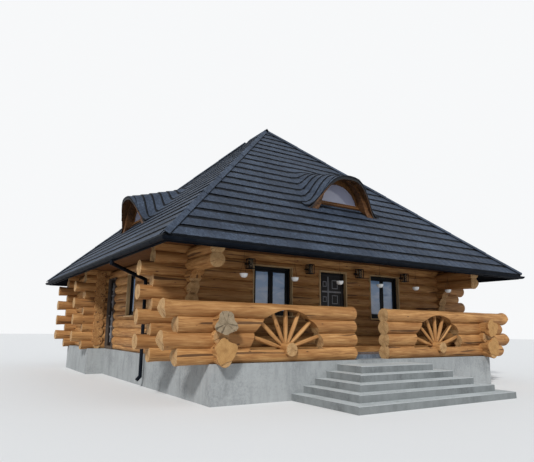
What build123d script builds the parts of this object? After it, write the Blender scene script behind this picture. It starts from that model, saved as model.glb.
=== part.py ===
from build123d import *
from math import atan, cos, degrees, radians, sin, sqrt, tan
import os

os.makedirs("parts", exist_ok=True)

# Driving dimensions in millimetres. X runs along the front, Y goes from the
# front to the back, and Z = 0 is the ground beside the plinth.
fit_gap = 0.3

plinth_height = 800.0
plinth_margin = 170.0
rear_plinth_margin = 280.0
floor_thickness = 100.0

terrace_depth = 1460.0
front_room_depth = 6490.0
rear_room_depth = 2780.0
front_room_half_width = 4310.0
rear_room_half_width = 4720.0

log_radius = 155.0
log_sides = 12
log_course = 265.0
first_log_height = 130.0
cross_log_rows = 10
side_log_rows = 9
plate_radius = 177.0
sill_log_width = 240.0
long_tail_reach = 5520.0
short_tail_reach = 5220.0
stub_length = 190.0
rear_stub_length = 35.0

rail_radius = 165.0
rail_course = 305.0
rail_rows = 4
rail_gap_width = 1020.0
rail_log_end_reach = 460.0
rail_small_end_reach = 250.0
root_flare = 100.0
root_flare_length = 200.0

front_centre_x = -120.0
sunburst_spacing = 2480.0
sunburst_radius = 980.0
sunburst_drop = 170.0
hub_radius = 155.0
hub_projection = 90.0
spoke_count = 7
spoke_spread = 156.0
spoke_root_radius = 22.0
spoke_belly_radius = 40.0
spoke_tip_radius = 26.0
spoke_belly_place = 0.45
spoke_sides = 8
spoke_tip_gap = 6.0

corbel_radius = 1000.0
corbel_centre_height = 1000.0
corbel_centre_reach = 1260.0
corbel_reaches = [560.0, 760.0, 1010.0]
corbel_first_row = 4
plate_reach = 1460.0

opening_head = 2270.0
window_sill = 1000.0
window_width = 1190.0
window_spacing = 1960.0
side_window_width = 780.0
side_window_back = 5700.0
door_width = 970.0
side_door_width = 800.0
side_door_front = 6980.0
inner_door_width = 1000.0

lining_thickness = 25.0
lining_projection = 10.0
frame_depth = 120.0
frame_width = 55.0
sash_border = 60.0
sash_thickness = 50.0
glass_thickness = 12.0
sill_thickness = 35.0
sill_projection = 45.0
sill_overlap = 40.0

door_recess = 75.0
door_leaf_thickness = 45.0
door_liner = 40.0
door_play = 8.0
door_free_play = 12.0
door_foot_play = 10.0
door_stop_gap = 5.0
door_stop_width = 25.0
door_stop_depth = 20.0
door_panel_depth = 12.0
door_border = 110.0
hinge_stand_off = 10.0
hinge_length = 90.0
hinge_heights = [250.0, 1050.0, 1850.0]
handle_height = 950.0
handle_inset = 70.0
handle_reach = 45.0
handle_length = 110.0
handle_radius = 9.0
rose_radius = 26.0
rose_thickness = 8.0

ceiling_height = 2560.0
ceiling_thickness = 100.0
ceiling_eave_run = 300.0
front_overhang = 540.0
back_overhang = 1270.0
roof_half_span = 5670.0
roof_pitch = 42.8
roof_thickness = 120.0
eave_height = 2470.0
tile_courses = 20
tile_nose = 28.0
tile_overhang = 50.0
tile_edge_thickness = 45.0
fascia_thickness = 30.0
fascia_foot = 2270.0
cap_width = 120.0
cap_thickness = 22.0
ridge_cap_overhang = 60.0
hip_cap_stop = 150.0
gutter_radius = 65.0
gutter_thickness = 6.0
gutter_drop = 120.0
pipe_radius = 45.0
pipe_wall = 3.0
pipe_outlet_run = 2850.0
pipe_wall_run = 3650.0
pipe_stand_off = 290.0
pipe_outlet_length = 80.0
pipe_elbow_height = 2740.0
pipe_shoe_height = 260.0
pipe_shoe_drop = 90.0
pipe_bracket_rows = [1, 6]
pipe_bracket_height = 40.0

dormer_setback = 1500.0
dormer_lip = 250.0
dormer_half_width = 1280.0
dormer_rise = 1050.0
dormer_shell = 90.0
dormer_side_shell = 150.0
dormer_skirt = 100.0
dormer_slope = 16.0
dormer_waist = 0.62
dormer_facets = 24
dormer_side_run = 6550.0
dormer_plate = 60.0
dormer_window_half_width = 740.0
dormer_window_rise = 640.0
dormer_window_spring = 60.0
dormer_window_foot = 60.0
dormer_frame_width = 55.0
dormer_sill_half_width = 770.0
dormer_hole_half_width = 600.0
dormer_hole_start = 330.0
dormer_hole_depth = 420.0

step_count = 5
step_drop = 80.0
landing_half_width = 1150.0
landing_depth = 800.0
step_tread = 320.0
step_nose_chamfer = 8.0

lantern_spacings = [-2690.0, -870.0, 870.0, 2690.0]
lantern_centre_x = -155.0
lantern_log_row = 8
lantern_width = 170.0
lantern_height = 250.0
lantern_plate = 16.0
lantern_post = 14.0
lantern_arm_length = 60.0
lantern_arm_height = 30.0
lantern_glass = 110.0

pot_count = 6
pot_spacing = 1370.0
pot_centre_x = -150.0
pot_run = 200.0
pot_radius = 90.0
pot_rim_height = 1880.0
pot_rod_radius = 4.0

# Places worked out from the driving dimensions.
front_wall_run = terrace_depth
cross_wall_run = terrace_depth + front_room_depth
back_wall_run = cross_wall_run + rear_room_depth
fascia_front_run = -front_overhang
fascia_back_run = back_wall_run + back_overhang
step_rise = (plinth_height - step_drop) / step_count
step_front_run = -plinth_margin - landing_depth - (step_count - 1) * step_tread
gutter_reach = fit_gap + 2 * gutter_radius
middle_run = (step_front_run + fascia_back_run + gutter_reach) / 2

top = plinth_height
rail_y = -middle_run
front_y = front_wall_run - middle_run
cross_y = cross_wall_run - middle_run
back_y = back_wall_run - middle_run
fascia_front_y = fascia_front_run - middle_run
fascia_back_y = fascia_back_run - middle_run
roof_slope = tan(radians(roof_pitch))
wall_ceiling = top + ceiling_height
attic_floor_top = wall_ceiling + ceiling_thickness


def cross_log_height(row):
    return top + first_log_height + row * log_course


def side_log_height(row):
    return cross_log_height(row) + log_course / 2


def round_log(
        x_axis, direction, start, length, radius, below=None, level=None, base=None, ceiling=None, flare=0):
    """A log along direction, scribed over the log below it; a flare widens its first end like a root."""
    plane = Plane(origin=start, x_dir=x_axis, z_dir=direction)
    with BuildPart() as log:
        with BuildSketch(plane):
            RegularPolygon(radius, log_sides, major_radius=False, rotation=180 / log_sides)
            if base:
                with Locations((0, -base[1] / 2)):
                    Rectangle(base[0], base[1])
            if below:
                with Locations((0, -below[1])):
                    RegularPolygon(
                        below[0] + fit_gap, log_sides, major_radius=False,
                        rotation=180 / log_sides, mode=Mode.SUBTRACT)
            if level is not None:
                with Locations((0, level - start[2] - radius)):
                    Rectangle(4 * radius, 2 * radius, mode=Mode.SUBTRACT)
            if ceiling is not None:
                with Locations((0, ceiling - start[2] + radius)):
                    Rectangle(4 * radius, 2 * radius, mode=Mode.SUBTRACT)
        extrude(amount=length)
        if flare:
            for distance, growth in ((0, flare), (root_flare_length, 0)):
                with BuildSketch(plane.offset(distance)):
                    RegularPolygon(
                        radius + growth, log_sides, major_radius=False, rotation=180 / log_sides)
            loft()
    return log.part


def log_x(x_start, x_end, y, z, radius=log_radius, **options):
    return round_log((0, 1, 0), (1, 0, 0), (x_start, y, z), x_end - x_start, radius, **options)


def log_y(y_start, y_end, x, z, radius=log_radius, **options):
    return round_log((-1, 0, 0), (0, 1, 0), (x, y_start, z), y_end - y_start, radius, **options)


def cut(part, tools):
    """The part less each tool, as a list of its separate solids."""
    with BuildPart() as result:
        add(part)
        if tools:
            add(tools, mode=Mode.SUBTRACT)
    return result.part.solids()


def box_between(x0, x1, y0, y1, z0, z1):
    with BuildPart() as block:
        with Locations(((x0 + x1) / 2, (y0 + y1) / 2, (z0 + z1) / 2)):
            Box(x1 - x0, y1 - y0, z1 - z0)
    return block.part


def save(name, solids):
    with BuildPart() as piece:
        add(solids)
    piece.part.label = name
    export_step(piece.part, f"parts/{name}.step")


def tail(row):
    """The half length of a log in a cross wall; the top one stays under the eaves."""
    return long_tail_reach if row % 2 and row < cross_log_rows - 1 else short_tail_reach


def notches_for_cross(row, xs, y):
    """The side logs half a course below a cross log, where it is notched over them."""
    if row == 0:
        return []
    z = side_log_height(row - 1)
    radius = plate_radius if row == side_log_rows else log_radius
    reach = 3 * log_radius
    return [log_y(y - reach, y + reach, x, z, radius + fit_gap) for x in xs]


def notches_for_side(row, x, ys):
    z = cross_log_height(row)
    reach = 3 * log_radius
    return [log_x(x - reach, x + reach, y, z, log_radius + fit_gap) for y in ys]


def cross_wall(y, xs, openings=()):
    """Logs along X from tail to tail, notched over the side walls at xs."""
    solids = []
    for row in range(cross_log_rows):
        z = cross_log_height(row)
        log = log_x(
            -tail(row), tail(row), y, z,
            below=(log_radius, log_course) if row else None,
            level=None if row else top,
            ceiling=wall_ceiling)
        solids += cut(log, notches_for_cross(row, xs, y) + list(openings))
    return solids


# The plinth and the floors.
plinth_front_y = rail_y - plinth_margin
plinth_back_y = back_y + plinth_margin
rear_plinth_front_y = cross_y - plinth_margin
front_plinth_x = front_room_half_width + plinth_margin
rear_plinth_x = rear_room_half_width + rear_plinth_margin

with BuildPart() as plinth:
    with BuildSketch(Plane.XY):
        with BuildLine():
            Polyline(
                (-front_plinth_x, plinth_front_y), (front_plinth_x, plinth_front_y),
                (front_plinth_x, rear_plinth_front_y), (rear_plinth_x, rear_plinth_front_y),
                (rear_plinth_x, plinth_back_y), (-rear_plinth_x, plinth_back_y),
                (-rear_plinth_x, rear_plinth_front_y), (-front_plinth_x, rear_plinth_front_y),
                close=True)
        make_face()
    extrude(amount=plinth_height)
plinth.part.label = "plinth"
export_step(plinth.part, "parts/plinth.step")

floor_inset = log_radius + fit_gap
front_inner_x = front_room_half_width - floor_inset
rear_inner_x = rear_room_half_width - floor_inset
floor_top = top + floor_thickness

save("terrace_floor", [box_between(
    -front_inner_x, front_inner_x, rail_y + rail_radius + fit_gap, front_y - floor_inset, top, floor_top)])
save("house_floor", [
    box_between(-front_inner_x, front_inner_x, front_y + floor_inset, cross_y - floor_inset, top, floor_top),
    box_between(-rear_inner_x, rear_inner_x, cross_y + floor_inset, back_y - floor_inset, top, floor_top),
    box_between(
        fit_gap - inner_door_width / 2, inner_door_width / 2 - fit_gap,
        cross_y - log_radius, cross_y + log_radius, top, floor_top)])

# The steps: a landing and four wider slabs below it, each its own piece.
for level in range(step_count):
    half_width = landing_half_width + level * step_tread
    front = plinth_front_y - landing_depth - level * step_tread
    slab_top = top - step_drop - level * step_rise
    with BuildPart() as step:
        with Locations((front_centre_x, (front + plinth_front_y) / 2, slab_top - step_rise / 2)):
            Box(2 * half_width, plinth_front_y - front, step_rise)
        chamfer(step.edges().group_by(Axis.Z)[-1].sort_by(Axis.Y)[0], step_nose_chamfer)
    step.part.label = f"step_{level + 1}"
    export_step(step.part, f"parts/step_{level + 1}.step")

# The cross walls, with their openings.
wall_reach = 2 * log_radius
front_door_x = (front_centre_x - door_width / 2, front_centre_x + door_width / 2)
window_xs = [front_centre_x - window_spacing, front_centre_x + window_spacing]
head_z = top + opening_head
sill_z = top + window_sill


def wall_opening_x(x0, x1, y, z0, z1):
    return box_between(x0, x1, y - wall_reach, y + wall_reach, z0, z1)


def wall_opening_y(y0, y1, x, z0, z1):
    return box_between(x - wall_reach, x + wall_reach, y0, y1, z0, z1)


def lintel_slits(x0, x1, y):
    """Thin cuts that part the piece over a doorway from the logs beside it."""
    return [box_between(x - fit_gap / 2, x + fit_gap / 2, y - wall_reach, y + wall_reach, head_z, wall_ceiling)
            for x in (x0, x1)]


front_xs = [-front_room_half_width, front_room_half_width]
rear_xs = [-rear_room_half_width, rear_room_half_width]


def window_openings(xs, y):
    return [wall_opening_x(x - window_width / 2, x + window_width / 2, y, sill_z, head_z) for x in xs]


front_cuts = window_openings(window_xs, front_y) + lintel_slits(*front_door_x, front_y)
front_cuts.append(wall_opening_x(*front_door_x, front_y, top, head_z))
save("front_wall", cross_wall(front_y, front_xs, front_cuts))

inner_door_x = (-inner_door_width / 2, inner_door_width / 2)
inner_cuts = [wall_opening_x(*inner_door_x, cross_y, top, head_z)] + lintel_slits(*inner_door_x, cross_y)
save("cross_wall", cross_wall(cross_y, front_xs + rear_xs, inner_cuts))

back_window_xs = [-window_spacing, window_spacing]
save("back_wall", cross_wall(back_y, rear_xs, window_openings(back_window_xs, back_y)))

# The side walls. The four lowest logs run on beside the terrace, and the
# upper ones step forward as corbels under the plate.
side_door_y = (side_door_front - middle_run, side_door_front + side_door_width - middle_run)
side_window_y = (side_window_back - side_window_width - middle_run, side_window_back - middle_run)
terrace_end_reach = [rail_log_end_reach, rail_small_end_reach, rail_log_end_reach]


def corbel_hollow(x):
    """The round hollow that is sawn out of the corbel logs below the plate."""
    with BuildPart() as space:
        with BuildSketch(Plane(origin=(x - wall_reach, 0, 0), x_dir=(0, 1, 0), z_dir=(1, 0, 0))):
            with Locations((front_y - corbel_centre_reach, top + corbel_centre_height)):
                Circle(corbel_radius)
        extrude(amount=2 * wall_reach)
    return space.part


def side_wall(x, openings):
    solids = []
    for row in range(side_log_rows):
        z = side_log_height(row)
        radius = plate_radius if row == side_log_rows - 1 else log_radius
        crossings = [front_y, cross_y]
        hollow = []
        if row < len(terrace_end_reach):
            start = rail_y - terrace_end_reach[row]
        elif row < corbel_first_row:
            start = rail_y + rail_radius + fit_gap
        elif row < corbel_first_row + len(corbel_reaches):
            start = front_y - corbel_reaches[row - corbel_first_row]
            hollow = [corbel_hollow(x)]
        else:
            start = front_y - plate_reach
        log = log_y(
            start, cross_y + log_radius, x, z, radius,
            below=(log_radius, log_course) if row else None,
            base=None if row else (sill_log_width, z - top),
            flare=root_flare if start == rail_y - rail_log_end_reach else 0)
        solids += cut(log, notches_for_side(row, x, crossings) + hollow + list(openings))
    return solids


def rear_side_wall(x):
    solids = []
    for row in range(side_log_rows):
        z = side_log_height(row)
        radius = plate_radius if row == side_log_rows - 1 else log_radius
        log = log_y(
            cross_y - log_radius - rear_stub_length, back_y + log_radius + stub_length, x, z, radius,
            below=(log_radius, log_course) if row else None,
            base=None if row else (sill_log_width, z - top))
        solids += cut(log, notches_for_side(row, x, [cross_y, back_y]))
    return solids


side_window_cut = [wall_opening_y(*side_window_y, x, sill_z, head_z) for x in front_xs]
side_door_cut = wall_opening_y(*side_door_y, -front_room_half_width, top, head_z)
left_slits = [box_between(
    -front_room_half_width - wall_reach, -front_room_half_width + wall_reach,
    y - fit_gap / 2, y + fit_gap / 2, head_z, wall_ceiling) for y in side_door_y]
save("left_wall", side_wall(-front_room_half_width, [side_window_cut[0], side_door_cut] + left_slits))
save("right_wall", side_wall(front_room_half_width, [side_window_cut[1]]))
save("rear_left_wall", rear_side_wall(-rear_room_half_width))
save("rear_right_wall", rear_side_wall(rear_room_half_width))

# The terrace rail, with an arch and a sunburst of turned spokes each side.
hub_z = top + rail_course - rail_radius / 4
sunburst_z = top + rail_course - sunburst_drop


def hub(x, radius):
    with BuildPart() as log:
        with BuildSketch(Plane(
                origin=(x, rail_y - rail_radius - hub_projection, hub_z), x_dir=(1, 0, 0), z_dir=(0, 1, 0))):
            Circle(radius)
        extrude(amount=2 * rail_radius + hub_projection)
    return log.part


def arch(x):
    """The round-topped space that is sawn out of the rail above its lowest log."""
    with BuildPart() as space:
        with BuildSketch(Plane(origin=(x, rail_y - wall_reach, 0), x_dir=(1, 0, 0), z_dir=(0, -1, 0))):
            with Locations((0, sunburst_z)):
                Circle(sunburst_radius)
            with Locations((0, hub_z / 2)):
                Rectangle(4 * sunburst_radius, hub_z, mode=Mode.SUBTRACT)
        extrude(amount=-2 * wall_reach)
    return space.part


def terrace_rail(side):
    """Rail logs on one side of the gap: side is -1 at the left and 1 at the right."""
    solids = []
    inner = front_centre_x + side * rail_gap_width / 2
    x = front_centre_x + side * sunburst_spacing
    side_x = side * front_room_half_width
    crossing = [log_y(
        rail_y - rail_log_end_reach, rail_y + rail_radius, side_x, side_log_height(row), log_radius + fit_gap,
        base=None if row else (sill_log_width + 2 * fit_gap, side_log_height(row) - top + fit_gap))
        for row in range(len(terrace_end_reach))]
    for row in range(rail_rows):
        z = top + rail_course / 2 + row * rail_course
        reach = side * tail(row)
        log = log_x(
            min(inner, reach), max(inner, reach), rail_y, z, rail_radius,
            below=(rail_radius, rail_course) if row else None,
            level=None if row else top)
        solids += cut(log, crossing + [arch(x), hub(x, hub_radius + fit_gap)])
    return solids


def spoke(x, angle):
    """A turned spoke from the hub to the arch, thickest in its middle."""
    direction = (cos(radians(angle)), 0, sin(radians(angle)))
    drop = hub_z - sunburst_z
    reach = -drop * direction[2] + sqrt((drop * direction[2]) ** 2 + sunburst_radius ** 2 - drop ** 2)
    root = hub_radius + fit_gap
    tip = reach - spoke_tip_gap
    with BuildPart() as bar:
        for share, radius in (
                (0, spoke_root_radius), (spoke_belly_place, spoke_belly_radius), (1, spoke_tip_radius)):
            distance = root + share * (tip - root)
            origin = (x + distance * direction[0], rail_y, hub_z + distance * direction[2])
            with BuildSketch(Plane(origin=origin, x_dir=(0, 1, 0), z_dir=direction)):
                RegularPolygon(radius, spoke_sides)
        loft(ruled=True)
    return bar.part


def sunburst(side):
    x = front_centre_x + side * sunburst_spacing
    first = 90 - spoke_spread / 2
    spokes = [spoke(x, first + index * spoke_spread / (spoke_count - 1)) for index in range(spoke_count)]
    return [hub(x, hub_radius)] + spokes


for side, word in ((-1, "left"), (1, "right")):
    save(f"terrace_rail_{word}", terrace_rail(side))
    save(f"sunburst_{word}", sunburst(side))

# The attic floor, which is also the boarded underside of the eaves.
save("attic_floor", [box_between(
    -roof_half_span + ceiling_eave_run, roof_half_span - ceiling_eave_run,
    fascia_front_y + ceiling_eave_run, fascia_back_y - ceiling_eave_run, wall_ceiling, attic_floor_top)])

# The four roof planes, stepped in tile courses.
eave_z = top + eave_height
vertical_thickness = roof_thickness / cos(radians(roof_pitch))
vertical_edge = tile_edge_thickness / cos(radians(roof_pitch))
course_run = (roof_half_span + tile_overhang) / tile_courses


def roof_line(run):
    return eave_z + roof_slope * run


def roof_profile():
    """Section points of a roof plane: the run in from the fascia, and the height."""
    points = []
    for course in range(tile_courses):
        run = -tile_overhang + course * course_run
        points.append((run, roof_line(run)))
        points.append((run + course_run, roof_line(run + course_run) - tile_nose))
    seat_z = attic_floor_top + fit_gap
    under = [
        (roof_half_span, roof_line(roof_half_span) - vertical_thickness),
        ((seat_z - eave_z + vertical_thickness) / roof_slope, seat_z),
        (ceiling_eave_run - fit_gap, seat_z),
        (ceiling_eave_run - fit_gap, roof_line(ceiling_eave_run) - vertical_thickness),
        (fascia_thickness + fit_gap, roof_line(fascia_thickness) - vertical_thickness),
        (fascia_thickness + fit_gap, roof_line(fascia_thickness) - vertical_edge),
        (-tile_overhang, roof_line(-tile_overhang) - vertical_edge)]
    return points + under


def roof_plane(plane, length, plan):
    """A stepped roof plane along an eave, mitred to its plan outline."""
    with BuildPart() as slope:
        with BuildSketch(plane):
            with BuildLine():
                Polyline(*roof_profile(), close=True)
            make_face()
        extrude(amount=length)
        with BuildSketch(Plane.XY):
            with BuildLine():
                Polyline(*plan, close=True)
            make_face()
        extrude(amount=2 * eave_z + roof_half_span, mode=Mode.INTERSECT)
    return slope.part


tile_x = roof_half_span + tile_overhang
tile_front_y = fascia_front_y - tile_overhang
tile_back_y = fascia_back_y + tile_overhang
ridge_front_y = fascia_front_y + roof_half_span
ridge_back_y = fascia_back_y - roof_half_span
mitre = fit_gap

front_plan = [(-tile_x + mitre, tile_front_y), (tile_x - mitre, tile_front_y), (0, ridge_front_y - mitre)]
back_plan = [(-tile_x + mitre, tile_back_y), (tile_x - mitre, tile_back_y), (0, ridge_back_y + mitre)]
left_plan = [
    (-tile_x, tile_front_y + mitre), (-mitre / 2, ridge_front_y), (-mitre / 2, ridge_back_y),
    (-tile_x, tile_back_y - mitre)]
right_plan = [(-x, y) for x, y in left_plan]

front_roof = roof_plane(
    Plane(origin=(-tile_x, fascia_front_y, 0), x_dir=(0, 1, 0), z_dir=(1, 0, 0)), 2 * tile_x, front_plan)
back_roof = roof_plane(
    Plane(origin=(tile_x, fascia_back_y, 0), x_dir=(0, -1, 0), z_dir=(-1, 0, 0)), 2 * tile_x, back_plan)
side_length = tile_back_y - tile_front_y
left_roof = roof_plane(
    Plane(origin=(-roof_half_span, tile_back_y, 0), x_dir=(1, 0, 0), z_dir=(0, -1, 0)), side_length, left_plan)
right_roof = roof_plane(
    Plane(origin=(roof_half_span, tile_front_y, 0), x_dir=(-1, 0, 0), z_dir=(0, 1, 0)), side_length, right_plan)

# The eyebrow dormers: a wave of the roof over a low arched window.
dormer_foot_z = roof_line(dormer_setback)
dormer_side_y = dormer_side_run - middle_run
dormer_tangent = tan(radians(dormer_slope))
dormer_depth = dormer_rise / (roof_slope - dormer_tangent) + dormer_lip
dormer_frames = [
    Plane(origin=(0, fascia_front_y + dormer_setback, dormer_foot_z), x_dir=(-1, 0, 0), z_dir=(0, 1, 0)),
    Plane(origin=(0, fascia_back_y - dormer_setback, dormer_foot_z), x_dir=(1, 0, 0), z_dir=(0, -1, 0)),
    Plane(origin=(-roof_half_span + dormer_setback, dormer_side_y, dormer_foot_z), x_dir=(0, 1, 0), z_dir=(1, 0, 0)),
    Plane(origin=(roof_half_span - dormer_setback, dormer_side_y, dormer_foot_z), x_dir=(0, -1, 0), z_dir=(-1, 0, 0))]


def wave_outline(half_width, rise, foot):
    """A round crown that runs out in a hollow curve to each side, on a deep skirt."""
    waist = foot + 0.5 * (rise - foot)
    curve = Spline(
        (-half_width, foot), (-dormer_waist * half_width, waist), (0, rise), (dormer_waist * half_width, waist),
        (half_width, foot), tangents=[(1, 0), (1, 0)], mode=Mode.PRIVATE)
    facets = [curve @ (index / dormer_facets) for index in range(dormer_facets + 1)]
    Polyline(*facets, (half_width, foot - dormer_skirt), (-half_width, foot - dormer_skirt), close=True)


def dormer_tube(frame, half_width, rise, foot, start, depth, slope):
    """A wave outline drawn back into the roof, rising by slope."""
    origin = frame.origin + frame.z_dir * start + Vector(0, 0, start * dormer_tangent)
    direction = frame.z_dir + Vector(0, 0, slope)
    with BuildPart() as tube:
        with BuildSketch(Plane(origin=origin, x_dir=frame.x_dir, z_dir=frame.z_dir)):
            with BuildLine():
                wave_outline(half_width, rise, foot)
            make_face()
        extrude(amount=depth * direction.length, dir=direction)
    return tube.part


def below_roof(frame):
    """Everything under the line of the tile noses."""
    near = -dormer_setback
    far = 2 * dormer_depth
    with BuildPart() as space:
        with BuildSketch(Plane(
                origin=frame.origin + frame.x_dir * 2 * dormer_half_width, x_dir=frame.z_dir, z_dir=-frame.x_dir)):
            with BuildLine():
                Polyline(
                    (near, fit_gap + near * roof_slope), (far, fit_gap + far * roof_slope),
                    (far, near * 2), (near, near * 2), close=True)
            make_face()
        extrude(amount=4 * dormer_half_width)
    return space.part


def dormer_roof(frame):
    """The curved roof shell of one dormer, standing on the tiles."""
    outer = dormer_tube(frame, dormer_half_width, dormer_rise, 0, 0, dormer_depth, dormer_tangent)
    inner = dormer_tube(
        frame, dormer_half_width - dormer_side_shell, dormer_rise - dormer_shell, -dormer_shell,
        -dormer_shell, dormer_depth + 2 * dormer_shell, dormer_tangent)
    return cut(outer, [inner, below_roof(frame)])


def arch_outline(inset):
    """The outline of a dormer window, inset from its opening."""
    half_width = dormer_window_half_width - inset
    foot = dormer_lip * roof_slope + dormer_window_foot
    spring = foot + dormer_window_spring
    Polyline((-half_width, spring), (-half_width, foot + inset), (half_width, foot + inset), (half_width, spring))
    ThreePointArc((half_width, spring), (0, foot + dormer_window_rise - inset), (-half_width, spring))


def arched(frame, start, depth, inset, hole=None):
    """An arched slab start behind the lip, or a ring if hole gives its inner inset."""
    with BuildPart() as slab:
        with BuildSketch(Plane(origin=frame.origin + frame.z_dir * start, x_dir=frame.x_dir, z_dir=frame.z_dir)):
            with BuildLine():
                arch_outline(inset)
            make_face()
            if hole:
                with BuildLine():
                    arch_outline(hole)
                make_face(mode=Mode.SUBTRACT)
        extrude(amount=depth)
    return slab.part


def dormer_wall(frame):
    """The wall under the wave with its arched window frame and sill."""
    plate = dormer_tube(
        frame, dormer_half_width - dormer_side_shell - 2 * fit_gap, dormer_rise - dormer_shell - 2 * fit_gap,
        -dormer_shell - 2 * fit_gap, dormer_lip, dormer_plate, 0)
    walls = cut(plate, [below_roof(frame), arched(frame, 0, 2 * dormer_lip, 0)])
    ring = arched(frame, dormer_lip, dormer_plate, fit_gap, dormer_frame_width)
    foot = dormer_lip * roof_slope + dormer_window_foot
    with BuildPart() as sill:
        with BuildSketch(Plane(
                origin=frame.origin + frame.z_dir * (dormer_lip - fit_gap), x_dir=frame.x_dir, z_dir=frame.z_dir)):
            with Locations((0, foot - sill_thickness / 2)):
                Rectangle(2 * dormer_sill_half_width, sill_thickness)
        extrude(amount=-sill_projection)
    return walls + [ring, sill.part]


def dormer_pane(frame):
    return arched(
        frame, dormer_lip + (dormer_plate - glass_thickness) / 2, glass_thickness, dormer_frame_width + fit_gap)


def dormer_hole(frame):
    """The way through the roof slab behind a dormer window."""
    with BuildPart() as shaft:
        with BuildSketch(Plane(
                origin=frame.origin + frame.z_dir * (dormer_hole_start + dormer_hole_depth / 2),
                x_dir=frame.x_dir, z_dir=(0, 0, 1))):
            Rectangle(2 * dormer_hole_half_width, dormer_hole_depth)
        extrude(amount=dormer_rise, both=True)
    return shaft.part


shells = []
dormer_walls = []
for frame in dormer_frames:
    shells += dormer_roof(frame)
    dormer_walls += dormer_wall(frame)
save("dormer_roofs", shells)
save("dormer_walls", dormer_walls)
save("dormer_glass", [dormer_pane(frame) for frame in dormer_frames])

roof_words = ["front", "back", "left", "right"]
for word, roof, frame in zip(roof_words, [front_roof, back_roof, left_roof, right_roof], dormer_frames):
    save(f"roof_{word}", cut(roof, [dormer_hole(frame)]))


def cap(start, end, fall):
    """A bent cap of tile along the line from start to end, its legs falling by fall."""
    line = Vector(*end) - Vector(*start)
    across = Vector(0, 0, 1).cross(line).normalized()
    drop = cap_width * tan(radians(fall))
    with BuildPart() as piece:
        with BuildSketch(Plane(origin=start, x_dir=across, z_dir=line)):
            with BuildLine():
                Polyline(
                    (-cap_width, -drop + fit_gap), (0, fit_gap), (cap_width, -drop + fit_gap),
                    (cap_width, -drop + cap_thickness), (0, cap_thickness), (-cap_width, -drop + cap_thickness),
                    close=True)
            make_face()
        extrude(amount=line.length)
    return piece.part


ridge_z = roof_line(roof_half_span) - tile_nose * (1 - cap_width / course_run)
caps = [cap(
    (0, ridge_front_y - ridge_cap_overhang, ridge_z), (0, ridge_back_y + ridge_cap_overhang, ridge_z), roof_pitch)]
hip_fall = degrees(atan(roof_slope / sqrt(2 + roof_slope ** 2)))
hip_run = roof_half_span - hip_cap_stop
for side in (-1, 1):
    for corner_y, way in ((fascia_front_y, 1), (fascia_back_y, -1)):
        caps.append(cap(
            (side * roof_half_span, corner_y, eave_z),
            (side * hip_cap_stop, corner_y + way * hip_run, roof_line(hip_run)), hip_fall))
save("ridge_caps", caps)

# The fascia, the gutters and the downspout.
fascia_z0 = top + fascia_foot
fascia_z1 = roof_line(0) - vertical_edge - fit_gap
inner_front_y = fascia_front_y + fascia_thickness
inner_back_y = fascia_back_y - fascia_thickness
save("fascia", [
    box_between(-roof_half_span, roof_half_span, fascia_front_y, inner_front_y, fascia_z0, fascia_z1),
    box_between(-roof_half_span, roof_half_span, inner_back_y, fascia_back_y, fascia_z0, fascia_z1),
    box_between(
        -roof_half_span, -roof_half_span + fascia_thickness, inner_front_y + fit_gap, inner_back_y - fit_gap,
        fascia_z0, fascia_z1),
    box_between(
        roof_half_span - fascia_thickness, roof_half_span, inner_front_y + fit_gap, inner_back_y - fit_gap,
        fascia_z0, fascia_z1)])

gutter_z = eave_z - gutter_drop
gutter_x = roof_half_span + fit_gap + gutter_radius


def gutter(plane, length, plan):
    """A half-round gutter along one eave, mitred at its corners."""
    with BuildPart() as trough:
        with BuildSketch(plane):
            Circle(gutter_radius)
            Circle(gutter_radius - gutter_thickness, mode=Mode.SUBTRACT)
            with Locations((0, gutter_radius / 2)):
                Rectangle(2 * gutter_radius, gutter_radius, mode=Mode.SUBTRACT)
        extrude(amount=length)
        with BuildSketch(Plane.XY.offset(gutter_z - 2 * gutter_radius)):
            with BuildLine():
                Polyline(*plan, close=True)
            make_face()
        extrude(amount=4 * gutter_radius, mode=Mode.INTERSECT)
    return trough.part


out_x = roof_half_span + gutter_reach
front_out_y = fascia_front_y - gutter_reach
back_out_y = fascia_back_y + gutter_reach
front_trough = [
    (-out_x + mitre, front_out_y), (out_x - mitre, front_out_y),
    (roof_half_span - mitre, fascia_front_y), (-roof_half_span + mitre, fascia_front_y)]
back_trough = [
    (-out_x + mitre, back_out_y), (out_x - mitre, back_out_y),
    (roof_half_span - mitre, fascia_back_y), (-roof_half_span + mitre, fascia_back_y)]
left_trough = [
    (-out_x, front_out_y + mitre), (-roof_half_span, fascia_front_y + mitre),
    (-roof_half_span, fascia_back_y - mitre), (-out_x, back_out_y - mitre)]
right_trough = [(-x, y) for x, y in left_trough]
gutter_length = 2 * out_x
side_gutter_length = back_out_y - front_out_y
save("gutters", [
    gutter(Plane(
        origin=(-out_x, fascia_front_y - fit_gap - gutter_radius, gutter_z), x_dir=(0, 1, 0), z_dir=(1, 0, 0)),
        gutter_length, front_trough),
    gutter(Plane(
        origin=(-out_x, fascia_back_y + fit_gap + gutter_radius, gutter_z), x_dir=(0, 1, 0), z_dir=(1, 0, 0)),
        gutter_length, back_trough),
    gutter(Plane(origin=(-gutter_x, front_out_y, gutter_z), x_dir=(-1, 0, 0), z_dir=(0, 1, 0)),
           side_gutter_length, left_trough),
    gutter(Plane(origin=(gutter_x, front_out_y, gutter_z), x_dir=(-1, 0, 0), z_dir=(0, 1, 0)),
           side_gutter_length, right_trough)])

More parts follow.
